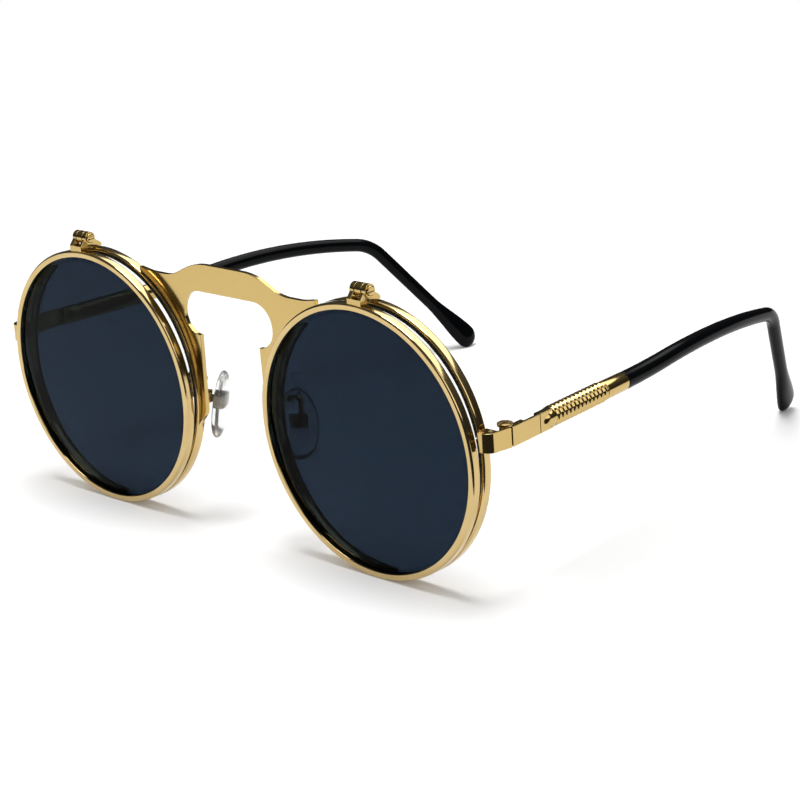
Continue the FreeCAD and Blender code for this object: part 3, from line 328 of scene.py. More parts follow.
def about_depth(profile, around):
    """Points of a profile (radius, depth) turned about the depth axis Y: (r cos a, d, r sin a)."""
    around = around[:, None]
    radius, depth = profile[:, 0], profile[:, 1]
    grid = np.broadcast_arrays(np.cos(around) * radius, depth, np.sin(around) * radius)
    return np.stack(grid, axis=2).reshape(-1, 3)


def lathe(profile, steps, start=0.0, sweep=2 * math.pi):
    """A closed profile turned about Y. A full turn closes on itself, a part turn is capped at its ends."""
    whole = sweep > 2 * math.pi - 1e-9
    around = start + np.linspace(0, sweep, steps, endpoint=not whole)
    faces = quads(steps, len(profile), whole, True)
    if not whole:
        ring = np.arange(len(profile))
        faces += [ring.tolist(), (ring + (steps - 1) * len(profile)).tolist()]
    return about_depth(profile, around), faces


def spun(profile, steps):
    """An open profile from axis to axis, turned about Y, with a point at each pole."""
    around = np.linspace(0, 2 * math.pi, steps, endpoint=False)
    columns = len(profile) - 2
    poles = np.array(((0, profile[0, 1], 0), (0, profile[-1, 1], 0)))
    points = np.vstack((about_depth(profile[1:-1], around), poles))
    return points, quads(steps, columns, True, False) + pole_fans(steps, columns)


def prism(outline, first, last):
    """A closed outline (x, z) carried along Y from one depth to another, with a cap at each end."""
    corners = len(outline)
    grid = np.broadcast_arrays(outline[:, 0], np.array((first, last))[:, None], outline[:, 1])
    caps = np.arange(2 * corners).reshape(2, corners).tolist()
    return np.stack(grid, axis=2).reshape(-1, 3), quads(2, corners, False, True) + caps


def swept(middles, wide, thick, heading_wide, heading_thick, around):
    """Ellipses carried along a path: m + w cos(a) W + t sin(a) T, drawn to a point at each end."""
    angles = np.linspace(0, 2 * math.pi, around, endpoint=False)[:, None, None]
    inner = slice(1, -1)
    grid = (middles[inner] + np.cos(angles) * wide[inner, None] * heading_wide[inner]
            + np.sin(angles) * thick[inner, None] * heading_thick[inner])
    columns = len(middles) - 2
    points = np.vstack((grid.reshape(-1, 3), middles[0], middles[-1]))
    return points, quads(around, columns, True, False) + pole_fans(around, columns)


def at_joint(points, turned, joint, name):
    """Turn a right-hand piece, carry it to a joint, and mirror it in X for the left side."""
    mirror = np.array((SIDES[name], 1.0, 1.0))
    return (points @ turned.T + np.array(JOINTS[joint]["pos_m"]) * mirror) * mirror


def dressed(label, mesh, finish, body, node):
    """A smooth-shaded piece that rides on a body in place of a node."""
    mesh.polygons.foreach_set("use_smooth", np.ones(len(mesh.polygons), bool))
    mesh.materials.append(bpy.data.materials[finish])
    piece = bpy.data.objects.new(label, mesh)
    bpy.context.scene.collection.objects.link(piece)
    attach(piece, body)
    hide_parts(node)
    return piece


def new_piece(label, points, faces, finish, body, node):
    """A piece from the points and faces of a closed surface, its faces turned outward."""
    mesh = bpy.data.meshes.new(label)
    mesh.from_pydata(points.tolist(), [], faces)
    form = bmesh.new()
    form.from_mesh(mesh)
    bmesh.ops.recalc_face_normals(form, faces=form.faces)
    form.to_mesh(mesh)
    form.free()
    return dressed(label, mesh, finish, body, node)


def polished(node, finish, softness):
    """A copy of a node, its doubles merged and its flat facets joined, with softly rounded edges."""
    source = frame["nodes"][node]
    crease = bpy.context.scene.sunglasses.front.crease
    form = bmesh.new()
    form.from_mesh(source.data)
    bmesh.ops.remove_doubles(form, verts=form.verts, dist=MERGE_DISTANCE)
    bmesh.ops.dissolve_limit(form, angle_limit=FLAT_ANGLE, verts=form.verts, edges=form.edges)
    mesh = bpy.data.meshes.new(node + "_form")
    form.to_mesh(mesh)
    form.free()
    piece = dressed(node + "_form", mesh, finish, source["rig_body"], node)
    mesh.set_sharp_from_angle(angle=crease)
    edge = piece.modifiers.new("soft edges", "BEVEL")
    edge.width = softness
    edge.segments = 2
    edge.limit_method = "ANGLE"
    edge.angle_limit = crease
    edge.harden_normals = True


# Finishes
class Value:
    """A socket of a look, with arithmetic that adds Math nodes."""

    def __init__(self, look, socket):
        self.look = look
        self.socket = socket

    def math(self, operation, first, second):
        """A Math node on two values or numbers."""
        return self.look.node("ShaderNodeMath", {"operation": operation}, {0: first, 1: second})

    def __add__(self, other):
        return self.math("ADD", self, other)

    def __sub__(self, other):
        return self.math("SUBTRACT", self, other)

    def __rsub__(self, other):
        return self.math("SUBTRACT", other, self)

    def __mul__(self, other):
        return self.math("MULTIPLY", self, other)

    __radd__ = __add__
    __rmul__ = __mul__


class Look:
    """A tree of shader nodes, built node by node."""

    def __init__(self, tree):
        self.tree = tree

    def node(self, kind, settings=None, sockets=None, output=0):
        """Add a node: its settings first, then the values or links of its sockets."""
        made = self.tree.nodes.new(kind)
        for name, value in (settings or {}).items():
            setattr(made, name, value)
        for name, value in (sockets or {}).items():
            self.feed(made.inputs[name], value)
        return Value(self, made.outputs[output])

    def feed(self, socket, value):
        """Link a value to a socket, or set a number or colour on it."""
        if isinstance(value, Value):
            self.tree.links.new(value.socket, socket)
        else:
            socket.default_value = value

    def background_rays(self):
        """1 for camera, glossy and transmission rays, and 0 for the rays that light the object."""
        camera, glossy, through = (self.node("ShaderNodeLightPath", output="Is %s Ray" % kind)
                                   for kind in ("Camera", "Glossy", "Transmission"))
        return camera.math("MAXIMUM", camera.math("MAXIMUM", camera, glossy), through)


class Finish(Look):
    """A material, built round one Principled shader."""

    def __init__(self, label, **constants):
        self.material = bpy.data.materials.new(label)
        self.material.use_nodes = True
        super().__init__(self.material.node_tree)
        self.shader = self.tree.nodes["Principled BSDF"]
        self.set(**constants)

    def set(self, **sockets):
        """Set what is the same all over on the shader, or link what varies over the surface to it."""
        for name, value in sockets.items():
            self.feed(self.shader.inputs[name.replace("_", " ").title().replace("Ior", "IOR")], value)

    def show(self, surface):
        """Show another shader in place of the Principled one."""
        self.tree.nodes.remove(self.shader)
        self.feed(self.tree.nodes["Material Output"].inputs["Surface"], surface)

    def spot(self):
        """The place on the object."""
        return self.node("ShaderNodeTexCoord", output="Object")

    def height(self):
        """The height above the floor."""
        return self.node("ShaderNodeSeparateXYZ", {}, {0: self.spot()}, "Z")

    def noise(self, scale, detail=3.0, stretch=(1.0, 1.0, 1.0)):
        """Noise from 0 to 1 with so many grains to the metre, stretched along the axes."""
        spot = self.node("ShaderNodeMapping", {}, {"Vector": self.spot(), "Scale": stretch})
        return self.node("ShaderNodeTexNoise", {}, {"Vector": spot, "Scale": scale, "Detail": detail})

    def blend(self, share, low, high):
        """One colour into another."""
        return self.node("ShaderNodeMix", {"data_type": "RGBA"},
                         {0: share, 6: (*low, 1.0), 7: (*high, 1.0)}, 2)

    def bump(self, height, strength, distance):
        """A normal tilted by the slopes of a height."""
        return self.node("ShaderNodeBump", {}, {"Height": height, "Strength": strength,
                                                "Distance": distance})


def shade(tone, factor):
    """A colour made lighter or darker by a factor."""
    return tuple(factor * part for part in tone)


class SUNGLASSES_OT_finishes(bpy.types.Operator):
    """Mix the finishes: metals, lenses, pads and tips"""
    bl_idname = "sunglasses.finishes"
    bl_label = "Finishes"

    def execute(self, context):
        looks = context.scene.sunglasses.finish
        self.metals(looks)
        self.lenses(looks)
        self.plastics(looks)
        return {"FINISHED"}

    def metals(self, looks):
        """Gold with a faint wear in its polish, a lighter copy of it on the rims as a painted highlight,
        browned screws and brushed steel.
        """
        # The second gold is the rims' lighter copy, a painted highlight.
        for label, bright in (("polished gold", looks.gold), ("pale polished gold", looks.rim_highlight_gold)):
            gold = Finish(label, metallic=1.0)
            wear = gold.noise(180.0)
            fine = gold.noise(2600.0, 2.0)
            gold.set(base_color=gold.blend(wear, bright, looks.gold_deep),
                     roughness=0.07 + 0.1 * wear,
                     normal=gold.bump(fine, 0.03, 0.00002))

        screw = Finish("browned screw", metallic=1.0)
        patina = screw.noise(900.0)
        screw.set(base_color=screw.blend(patina, looks.screw, looks.gold_deep),
                  roughness=0.2 + 0.25 * patina,
                  normal=screw.bump(patina, 0.1, 0.00003))

        steel = Finish("brushed steel", metallic=1.0)
        brushed = steel.noise(700.0, 3.0, (1.0, 1.0, 9.0))
        steel.set(base_color=steel.blend(brushed, looks.steel, shade(looks.steel, 0.6)),
                  roughness=0.1 + 0.2 * brushed,
                  normal=steel.bump(brushed, 0.15, 0.00003))

    def lenses(self, looks):
        """Dark glass, a little lighter at the bottom, and clear lenses that hardly show."""
        dark = Finish("dark tinted lens", transmission_weight=1.0, ior=1.1)
        rise = dark.height() * (1 / CAD_HIGH.z)
        cloud = dark.noise(40.0)
        dark.set(base_color=dark.blend(rise + (cloud - 0.5) * 0.2, looks.tint_low, looks.tint_top),
                 roughness=0.01 + 0.015 * cloud)

        clear = Finish("clear lens", alpha=0.06, ior=1.5)
        haze = clear.noise(60.0)
        clear.set(base_color=clear.blend(haze, looks.clear, shade(looks.clear, 1.2)),
                  roughness=0.02 + 0.03 * haze)

    def plastics(self, looks):
        """Clear soft pads and glossy black tips."""
        pad = Finish("clear soft pad", transmission_weight=0.94, ior=1.46)
        cloud = pad.noise(420.0)
        pad.set(base_color=pad.blend(cloud, looks.pad, looks.pad_light),
                roughness=0.04 + 0.08 * cloud,
                normal=pad.bump(cloud, 0.08, 0.0002))

        tip = Finish("glossy black tip", coat_roughness=0.06, specular_ior_level=0.05)
        mould = tip.noise(150.0)
        grain = tip.noise(3200.0, 2.0)
        tip.set(base_color=tip.blend(mould, looks.tip, shade(looks.tip, 1.9)),
                roughness=0.1 + 0.1 * mould,
                coat_weight=0.03 + 0.05 * mould,
                normal=tip.bump(grain, 0.05, 0.00003))


# Front
def rim_outline(front, depth):
    """A rim's section (radius, depth): rounded wire with a V groove for the lens inside."""
    outer, inner = front.outer_rounding, front.inner_rounding
    land, mouth = front.groove_land, front.groove_width
    return rounded((
        (front.rim_inside, 0.0, inner),
        (front.rim_outside, 0.0, outer),
        (front.rim_outside, depth, outer),
        (front.rim_inside, depth, inner),
        (front.rim_inside, land + mouth, front.groove_edge),
        (front.rim_inside + front.groove_depth, land + mouth / 2, front.groove_root),
        (front.rim_inside, land, front.groove_edge),
    ))


def lens_outline(front):
    """A lens' section from axis to axis: both faces bulge forward as a parabola, the edge is a bevel."""
    edge = front.rim_inside - front.lens_fit
    land, mouth = front.groove_land, front.groove_width
    share = np.linspace(0, 1, front.lens_steps)
    crown = front.lens_crown * (1 - share ** 2)
    face = np.stack((edge * share, land - front.lens_step - crown), axis=1)
    back = np.stack((edge * share, land + mouth + front.lens_step - crown), axis=1)[::-1]
    bevel = np.array(((edge, land), (edge + front.groove_depth, land + mouth / 2), (edge, land + mouth)))
    return np.vstack((face, bevel, back))


def rim_places(front, name):
    """The middles of a fixed and of a flip rim's front. The flip rim's foremost point, less its bevel,
    lies sin(lean) times the radius in front of its middle."""
    across, rise = (RIM_LOW.x + RIM_HIGH.x) / 2, (RIM_LOW.z + RIM_HIGH.z) / 2
    flip_front = FLIP_LOW.y + (front.rim_outside - front.flip_bevel) * math.sin(front.flip_lean)
    return (np.array((SIDES[name] * across, RIM_LOW.y, rise)),
            np.array((SIDES[name] * across, flip_front, rise)))


class SUNGLASSES_OT_rims(bpy.types.Operator):
    """Turn the fixed rims, split beside their closing blocks, and the flip rims"""
    bl_idname = "sunglasses.rims"
    bl_label = "Rims"

    def execute(self, context):
        front = context.scene.sunglasses.front
        fixed = rim_outline(front, front.rim_depth)
        hinged = rim_outline(front, front.flip_depth)
        reach = (front.rim_inside + front.rim_outside) / 2
        split = math.asin(front.split_rise / reach)
        gap = front.split_width / reach
        lean = turn("X", front.flip_lean)
        for name, side in SIDES.items():
            fixed_place, flip_place = rim_places(front, name)
            start = split if side > 0 else math.pi - split
            points, faces = lathe(fixed, front.rim_steps, start + gap / 2, 2 * math.pi - gap)
            # The rims wear the lighter gold, a painted highlight.
            new_piece("fixed_rim_" + name, points + fixed_place, faces, "pale polished gold", "front",
                      "base_rim_" + name)
            points, faces = lathe(hinged, front.rim_steps)
            new_piece("hinged_rim_" + name, points @ lean.T + flip_place, faces, "pale polished gold",
                      "flip_" + name, "flip_rim_" + name)
        return {"FINISHED"}


class SUNGLASSES_OT_lenses(bpy.types.Operator):
    """Turn the clear lenses and the dark lenses, slightly crowned towards the front"""
    bl_idname = "sunglasses.lenses"
    bl_label = "Lenses"

    def execute(self, context):
        front = context.scene.sunglasses.front
        points, faces = spun(lens_outline(front), front.rim_steps)
        leaned = points @ turn("X", front.flip_lean).T
        for name in SIDES:
            fixed_place, flip_place = rim_places(front, name)
            new_piece("inner_lens_" + name, points + fixed_place, faces, "clear lens", "front",
                      "clear_lens_" + name)
            new_piece("outer_lens_" + name, leaned + flip_place, faces, "dark tinted lens",
                      "flip_" + name, "dark_lens_" + name)
        return {"FINISHED"}


class SUNGLASSES_OT_bridge(bpy.types.Operator):
    """Finish the stamped bridge"""
    bl_idname = "sunglasses.bridge"
    bl_label = "Bridge"

    def execute(self, context):
        polished("bridge_plate", "polished gold", context.scene.sunglasses.front.edge_softness)
        return {"FINISHED"}


class SUNGLASSES_OT_fittings(bpy.types.Operator):
    """Finish the hinges, endpieces, closing blocks, cups and arms"""
    bl_idname = "sunglasses.fittings"
    bl_label = "Fittings"

    def execute(self, context):
        softness = context.scene.sunglasses.front.edge_softness
        for name in SIDES:
            for node in ("hinge_lug", "flip_bracket", "endpiece", "closing_block_upper",
                         "closing_block_lower", "front_hinge", "temple_hinge", "temple_plate", "pad_cup",
                         "pad_arm"):
                polished("%s_%s" % (node, name), "polished gold", softness)
        return {"FINISHED"}


class SUNGLASSES_OT_screws(bpy.types.Operator):
    """Finish the screws"""
    bl_idname = "sunglasses.screws"
    bl_label = "Screws"

    def execute(self, context):
        softness = context.scene.sunglasses.front.screw_softness
        for node in ("closing_screws", "temple_screws", "pad_screws"):
            polished(node, "browned screw", softness)
        for name in SIDES:
            polished("flip_screw_" + name, "polished gold", softness)
        return {"FINISHED"}


# Temples
def put_temple(points, temple, name):
    """Carry points from a right-hand temple's frame, whose origin is on the hinge axis, to a side."""
    return at_joint(points, turn("Z", temple.toe), "temple_%s_hinge" % name, name)


def rod_outline(temple):
    """A ribbed rod from axis to axis: its radius dips by the groove depth in a raised-cosine valley
    at every pitch, runs out as a cone in front and is bevelled at the back."""
    radius, run = temple.shaft_radius, temple.rib_length
    along = np.linspace(0, run - temple.shaft_bevel, temple.rib_steps)
    pitches = int((run - 2 * temple.rib_margin) / temple.rib_pitch + 0.001)
    phase = np.clip((along - temple.rib_margin) / temple.rib_pitch, -0.5, pitches + 0.5)
    valley = np.cos(math.pi * (phase - np.round(phase))) ** 2
    ribs = np.stack((radius - temple.rib_depth * valley, along), axis=1)
    front = ((0.0, -temple.scoop_length), (radius - temple.scoop_drop, -temple.scoop_length))
    back = ((radius - temple.shaft_bevel, run), (0.0, run))
    return np.vstack((front, ribs, back))


def rod_form(temple):
    """The ribbed rod of a shaft in the temple's frame: its outline turned about the shaft's axis."""
    points, faces = spun(rod_outline(temple), temple.turn_steps)
    return points + np.array((temple.shaft_side, temple.rib_start, 0.0)), faces


def tang_form(temple):
    """The flat tang of a shaft in the temple's frame: a bar's rounded section (x, z) carried along Y."""
    half, thick = temple.tang_half, temple.tang_thickness
    outer, inner = temple.tang_outer_rounding, temple.tang_inner_rounding
    section = rounded(((-thick, -half, inner), (-thick, half, inner), (0.0, half, outer),
                       (0.0, -half, outer)))
    points, faces = prism(section, -temple.tang_length, 0.0)
    return points + np.array((temple.tang_outside, temple.rib_start, 0.0)), faces


def sleeve_form(temple):
    """A ferrule in the temple's frame: a tube's rounded section (radius, depth) turned about its axis."""
    bore, outside, run = temple.ferrule_bore, temple.ferrule_radius, temple.ferrule_length
    outer, inner = temple.ferrule_rounding, temple.bore_rounding
    section = rounded(((bore, 0.0, inner), (outside, 0.0, outer), (outside, run, outer),
                       (bore, run, inner)))
    points, faces = lathe(section, temple.turn_steps)
    start = temple.rib_start + temple.rib_length + temple.joint_line
    return points + np.array((temple.shaft_side, start, 0.0)), faces


class SUNGLASSES_OT_temples(bpy.types.Operator):
    """Turn the ribbed shafts and the ferrules, and mill the tangs"""
    bl_idname = "sunglasses.temples"
    bl_label = "Temples"

    def execute(self, context):
        temple = context.scene.sunglasses.temple
        softness = context.scene.sunglasses.front.screw_softness
        rod, rod_faces = rod_form(temple)
        tang, tang_faces = tang_form(temple)
        sleeve, sleeve_faces = sleeve_form(temple)
        for name in SIDES:
            new_piece("ribbed_shaft_" + name, put_temple(rod, temple, name), rod_faces, "polished gold",
                      "temple_" + name, "temple_shaft_" + name)
            piece = new_piece("flat_tang_" + name, put_temple(tang, temple, name), tang_faces,
                              "polished gold", "temple_" + name, "temple_shaft_" + name)
            piece.data.set_sharp_from_angle(angle=temple.tang_crease)
            new_piece("sleeve_" + name, put_temple(sleeve, temple, name), sleeve_faces, "polished gold",
                      "temple_" + name, "ferrule_" + name)
            polished("core_wire_" + name, "brushed steel", softness)
        return {"FINISHED"}


def arc(start, heading, axis, radius, angles):
    """Places and headings along an arc: p + (R(a) - I) m, with m from the arc's centre to its start."""
    arm = np.cross(heading, axis) * radius
    spin = turns(axis, angles)
    return start + spin @ arm - arm, spin @ heading


def rolled(headings, roll):
    """The outward directions square to some headings, rolled about them by an angle."""
    across = unit(np.cross(headings, UP))
    return across * np.cos(roll) - np.cross(across, headings) * np.sin(roll)


def tip_route(temple, tip, drop):
    """A tip's stations in the temple's frame: places, directions of its width and of its thickness, and
    the length of its straight run.

    A slight rise, a long arc inward and down, an ear bend whose plane leans inward, a straight run and
    a rounded end, whose lowest point lies a drop below the hinge.
    """
    spot = np.array((temple.shaft_side, temple.rib_start + temple.rib_length + temple.ferrule_length
                     + 2 * temple.joint_line, 0.0))
    heading = np.array((0.0, 1.0, 0.0))
    share = np.linspace(0, 1, tip.steps)[1:, None]
    places, headings, outs = [spot[None]] * 2, [heading[None]] * 2, [np.eye(3)[:1]] * 2
    for run, inward, down, roll in ((tip.rise_length, 0.0, -tip.rise, 0.0),
                                    (tip.side_length, tip.curve, tip.fall, tip.ear_roll)):
        across = unit(np.cross(heading, UP))
        axis = np.cross(across, heading) * inward - across * down
        whole = np.linalg.norm(axis)
        spots, ways = arc(spot, heading, axis / whole, run / whole, share[:, 0] * whole)
        places.append(spots)
        headings.append(ways)
        outs.append(rolled(ways, share * roll))
        spot, heading = spots[-1], ways[-1]
    out = outs[-1][-1]
    spots, ways = arc(spot, heading, -out, tip.ear_radius, share[:, 0] * tip.ear_angle)
    spot, heading = spots[-1], ways[-1]
    broad = np.cross(out, heading)
    lowest = math.sqrt((heading[2] ** 2 + broad[2] ** 2) * tip.paddle ** 2 + (out[2] * tip.hook_side) ** 2)
    run = (drop + spot[2] - lowest) / -heading[2]
    ends = np.linspace(0, math.pi / 2, tip.end_steps)[1:, None]
    places += [spots, spot + heading * run * share, spot + heading * (run + tip.paddle * np.sin(ends))]
    headings += [ways, np.ones((len(share) + len(ends), 1)) * heading]
    outs = np.vstack((*outs, np.ones((2 * len(share) + len(ends), 1)) * out))
    return np.vstack(places), np.cross(outs, np.vstack(headings)), outs, run


def tip_halves(tip, run):
    """Half a tip's width and thickness at its stations: an even taper to the ear bend, another round it,
    a straight run that broadens as a smooth step, and an end rounded as half an ellipsoid."""
    share = np.linspace(0, 1, tip.steps)[1:]
    ends = np.cos(np.linspace(0, math.pi / 2, tip.end_steps)[1:])
    rise_share = tip.rise_length / (tip.rise_length + tip.side_length)
    taper = np.concatenate((share * rise_share, rise_share + share * (1 - rise_share)))
    swell = np.clip(1 - run * (1 - share) / tip.paddle_length, 0, 1)
    wide = ((0.0, tip.start), tip.start + taper * (tip.height - tip.start),
            tip.height + share * (tip.hook - tip.height),
            tip.hook + (tip.paddle - tip.hook) * swell ** 2 * (3 - 2 * swell), tip.paddle * ends)
    thick = ((0.0, tip.start), tip.start + taper * (tip.side - tip.start),
             tip.side + share * (tip.hook_side - tip.side),
             np.full(len(share), tip.hook_side), tip.hook_side * ends)
    return np.concatenate(wide), np.concatenate(thick)


class SUNGLASSES_OT_tips(bpy.types.Operator):
    """Sweep the black tips along their bends"""
    bl_idname = "sunglasses.tips"
    bl_label = "Tips"

    def execute(self, context):
        temple, tip = context.scene.sunglasses.temple, context.scene.sunglasses.tip
        for name in SIDES:
            drop = JOINTS["temple_%s_hinge" % name]["pos_m"][2]
            places, broad, outs, run = tip_route(temple, tip, drop)
            points, faces = swept(places, *tip_halves(tip, run), broad, outs, tip.around)
            new_piece("black_tip_" + name, put_temple(points, temple, name), faces, "glossy black tip",
                      "temple_" + name, "temple_tip_" + name)
        return {"FINISHED"}


# Nose pads
PAD_SECTION = ((0.0, 0.0), (0.45, 0.0), (0.74, 0.015), (0.88, 0.09), (0.97, 0.24), (1.0, 0.45),
               (0.95, 0.68), (0.8, 0.86), (0.52, 0.965), (0.22, 0.995), (0.0, 1.0))


def pad_section():
    """A pad's section (share of its outline, share of its thickness), its corners cut twice at a quarter
    of each side."""
    section = np.array(PAD_SECTION)
    for cut in range(2):
        near = section[:-1] * 0.75 + section[1:] * 0.25
        far = section[:-1] * 0.25 + section[1:] * 0.75
        inner = np.stack((near, far), axis=1).reshape(-1, 2)
        section = np.vstack((section[:1], inner[1:-1], section[-1:]))
    return section


def pad_form(pad):
    """A right-hand pad about its pivot: ellipses (w s sin a, h s cos a) that shrink by the section's
    share s from its rim to a pole on either face, at the depth the section gives."""
    around = np.linspace(0, 2 * math.pi, pad.around, endpoint=False)[:, None]
    share, deep = pad_section()[1:-1].T
    grid = np.broadcast_arrays(pad.standoff + deep * pad.thickness, np.sin(around) * share * pad.half_width,
                               np.cos(around) * share * pad.half_height - pad.drop)
    poles = np.array(((pad.standoff, 0, -pad.drop), (pad.standoff + pad.thickness, 0, -pad.drop)))
    points = np.vstack((np.stack(grid, axis=2).reshape(-1, 3), poles))
    return points, quads(pad.around, len(deep), True, False) + pole_fans(pad.around, len(deep))


class SUNGLASSES_OT_pads(bpy.types.Operator):
    """Mould the clear nose pads round their metal inserts"""
    bl_idname = "sunglasses.pads"
    bl_label = "Nose pads"

    def execute(self, context):
        pad, front = context.scene.sunglasses.pad, context.scene.sunglasses.front
        points, faces = pad_form(pad)
        turned = turn("Z", math.pi - pad.splay) @ turn("Y", pad.slope)
        for name in SIDES:
            placed = at_joint(points, turned, "pad_%s_rock" % name, name)
            piece = new_piece("soft_pad_" + name, placed, faces, "clear soft pad", "pad_" + name,
                              "nose_pad_" + name)
            polished("pad_insert_" + name, "brushed steel", front.screw_softness)
        return {"FINISHED"}


# Stage
NEAR_FOOT = ((RIM_LOW.x + RIM_HIGH.x) / 2, FLIP_LOW.y, 0.002)
# What the polished metal mirrors: each card's middle, its first and last azimuth and elevation in degrees,
# its first and last distance, its brightness at the bottom and the top, and whether glass shows it too.
CARDS = (
    ("dark_dome", (0.0, 0.0, 0.0), (0, 360), (-1, 89), (1.5, 1.5), (0.03, 0.12), True),
    ("dark_field", NEAR_FOOT, (-12, 97), (0, 0), (0.05, 1.4), (0.03, 0.03), False),
    ("bright_panel", (0.0, 0.0, 0.0), (125, 235), (40, 78), (1.4, 1.4), (2.6, 2.6), False),
    ("side_panel", (0.0, 0.0, 0.0), (48, 94), (16, 50), (1.3, 1.3), (1.6, 1.6), False),
)
CARD_STEPS = (97, 30)


def towards(azimuth, elevation):
    """Directions round the object, from the front: (cos e sin a, -cos e cos a, sin e)."""
    parts = np.broadcast_arrays(np.cos(elevation) * np.sin(azimuth), -np.cos(elevation) * np.cos(azimuth),
                                np.sin(elevation))
    return np.stack(parts, axis=-1)


def looking(spot, aim, roll=0.0):
    """The matrix of a camera or lamp at one point that faces another, turned about its line of sight."""
    back = unit(spot - aim)
    right = unit(np.cross((0.0, 1.0, 0.0) if abs(back[2]) > 0.9 else UP, back))
    right = math.cos(roll) * right + math.sin(roll) * np.cross(back, right)
    basis = np.eye(4)
    basis[:3] = np.column_stack((right, np.cross(back, right), back, spot))
    return Matrix(basis.tolist())


def stage_piece(label, points, faces, finish):
    """A piece of the stage, which isn't part of the object."""
    mesh = bpy.data.meshes.new(label)
    mesh.from_pydata(points, [], faces)
    mesh.materials.append(finish.material)
    piece = bpy.data.objects.new(label, mesh)
    bpy.context.scene.collection.objects.link(piece)
    return piece


def floor_finish(settings):
    """A matte floor that keeps its shadows. The rays that see it as background see it a little lighter,
    and between two distances from the middle it turns plain white for them."""
    floor = Finish("pale floor")
    away = floor.node("ShaderNodeVectorMath", {"operation": "LENGTH"}, {0: floor.spot()}, "Value")
    fade = floor.node("ShaderNodeMapRange", {"interpolation_type": "SMOOTHSTEP"},
                      {0: away, 1: settings.floor_near, 2: settings.floor_far})
    pale = (*[settings.floor_shade] * 3, 1.0)
    matte = floor.node("ShaderNodeBsdfDiffuse", {}, {"Color": pale})
    lift = floor.node("ShaderNodeEmission", {}, {"Color": WHITE, "Strength": 1.0 - settings.floor_shade})
    lifted = floor.node("ShaderNodeAddShader", {}, {0: matte, 1: lift})
    white = floor.node("ShaderNodeEmission", {}, {"Color": WHITE, "Strength": 1.0})
    seen = floor.node("ShaderNodeMixShader", {}, {0: fade, 1: lifted, 2: white})
    floor.show(floor.node("ShaderNodeMixShader", {}, {0: floor.background_rays(), 1: matte, 2: seen}))
    return floor


def card_finish(label, low, high, top):
    """A glow that goes from one grey to another up to a height, as a smooth step."""
    card = Finish(label, base_color=BLACK, specular_ior_level=0.0, emission_strength=1.0)
    if low == high:
        card.set(emission_color=(high, high, high, 1.0))
    else:
        rise = card.node("ShaderNodeMapRange", {"interpolation_type": "SMOOTHERSTEP"},
                         {0: card.height(), 1: 0.0, 2: top})
        card.set(emission_color=card.blend(rise, (low, low, low), (high, high, high)))
    return card


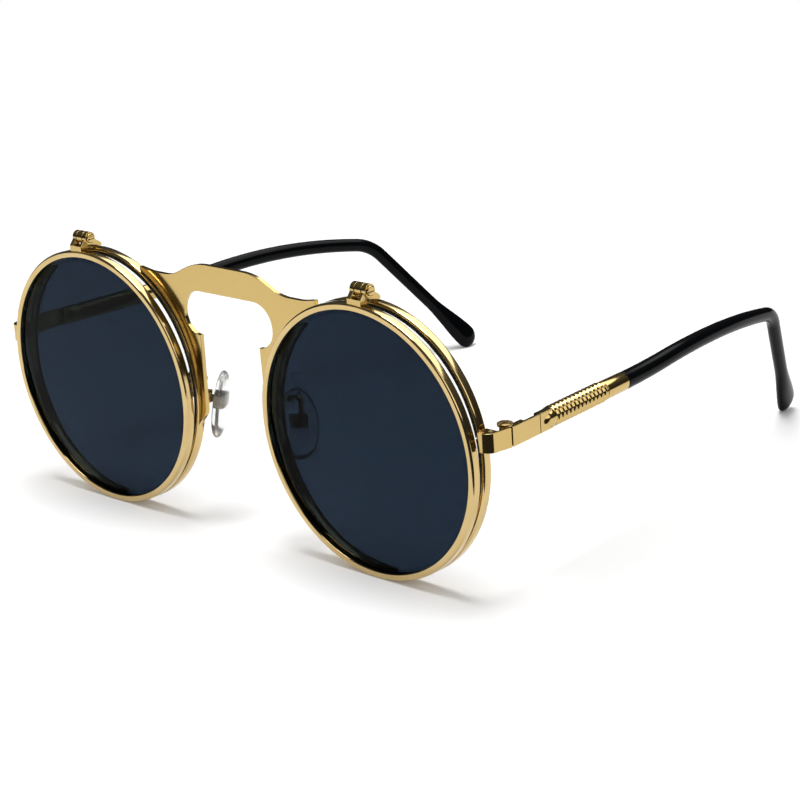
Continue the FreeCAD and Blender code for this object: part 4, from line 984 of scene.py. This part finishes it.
class SUNGLASSES_OT_stage(bpy.types.Operator):
    """Lay the floor, set the cards and the lamp, and aim the camera"""
    bl_idname = "sunglasses.stage"
    bl_label = "Stage"

    def execute(self, context):
        scene, settings = context.scene, context.scene.sunglasses.stage
        scene.view_settings.view_transform = "Standard"
        half = settings.floor_size / 2
        stage_piece("floor", [(-half, -half, 0), (half, -half, 0), (half, half, 0), (-half, half, 0)],
                    [(0, 1, 2, 3)], floor_finish(settings))
        self.cards()
        self.light(scene, settings)
        self.aim(scene, settings)
        return {"FINISHED"}

    def cards(self):
        """Cards that light nothing: a dark dome, a little brighter upwards, a dark field on the floor in
        front of the near rim, and bright panels above the back and at the near side."""
        rows, columns = CARD_STEPS
        for label, middle, azimuths, elevations, distances, (low, high), through in CARDS:
            ways = towards(np.radians(np.linspace(*azimuths, rows))[:, None],
                           np.radians(np.linspace(*elevations, columns)))
            grid = ways * np.linspace(*distances, columns)[:, None] + np.array(middle)
            card = stage_piece(label, grid.reshape(-1, 3).tolist(), quads(rows, columns, False, False),
                               card_finish(label, low, high, grid[..., 2].max()))
            card.visible_camera = False
            card.visible_diffuse = False
            card.visible_transmission = through
            card.visible_shadow = False

    def light(self, scene, settings):
        """Even daylight, and a soft lamp overhead."""
        world = bpy.data.worlds.new("studio")
        world.use_nodes = True
        scene.world = world
        sky = Look(world.node_tree)
        lit = sky.node("ShaderNodeBackground", {}, {"Color": WHITE, "Strength": settings.daylight})
        white = sky.node("ShaderNodeBackground", {}, {"Color": WHITE, "Strength": 1.0})
        sky.feed(sky.tree.nodes["World Output"].inputs["Surface"],
                 sky.node("ShaderNodeMixShader", {}, {0: sky.background_rays(), 1: lit, 2: white}))
        data = bpy.data.lights.new("overhead lamp", "AREA")
        data.shape = "SQUARE"
        data.size = settings.lamp_size
        data.energy = settings.lamp_power
        lamp = bpy.data.objects.new("overhead lamp", data)
        lamp.matrix_world = looking(np.array(settings.lamp_place), np.array(settings.lamp_aim))
        scene.collection.objects.link(lamp)

    def aim(self, scene, settings):
        """Place the camera at the photograph's angle."""
        flip_front = rim_places(scene.sunglasses.front, "right")[1][1]
        target = np.array((settings.target_side, flip_front + settings.target_back, settings.target_rise))
        spot = target + settings.distance * towards(settings.azimuth, settings.elevation)
        data = bpy.data.cameras.new("camera")
        data.lens = settings.focal
        data.sensor_width = 36.0
        data.clip_start = 0.01
        camera = bpy.data.objects.new("camera", data)
        camera.matrix_world = looking(spot, target, settings.roll)
        scene.collection.objects.link(camera)
        scene.camera = camera


class SUNGLASSES_PT_build(bpy.types.Panel):
    """The steps that dress the sunglasses"""
    bl_label = "Sunglasses"
    bl_idname = "SUNGLASSES_PT_build"
    bl_space_type = "VIEW_3D"
    bl_region_type = "UI"
    bl_category = "Sunglasses"

    def draw(self, context):
        for step in STEPS:
            self.layout.operator(step.bl_idname)


STEPS = (SUNGLASSES_OT_finishes, SUNGLASSES_OT_rims, SUNGLASSES_OT_lenses, SUNGLASSES_OT_bridge,
         SUNGLASSES_OT_fittings, SUNGLASSES_OT_screws, SUNGLASSES_OT_temples, SUNGLASSES_OT_tips,
         SUNGLASSES_OT_pads, SUNGLASSES_OT_stage)
CLASSES = (FrontSettings, TempleSettings, TipSettings, PadSettings, FinishSettings, StageSettings,
           SunglassesSettings, *STEPS, SUNGLASSES_PT_build)


def register():
    for made in CLASSES:
        bpy.utils.register_class(made)
    bpy.types.Scene.sunglasses = PointerProperty(type=SunglassesSettings)


def unregister():
    del bpy.types.Scene.sunglasses
    for made in reversed(CLASSES):
        bpy.utils.unregister_class(made)


def main():
    register()
    for step in STEPS:
        group, name = step.bl_idname.split(".")
        getattr(getattr(bpy.ops, group), name)()


if __name__ == "__main__":
    main()
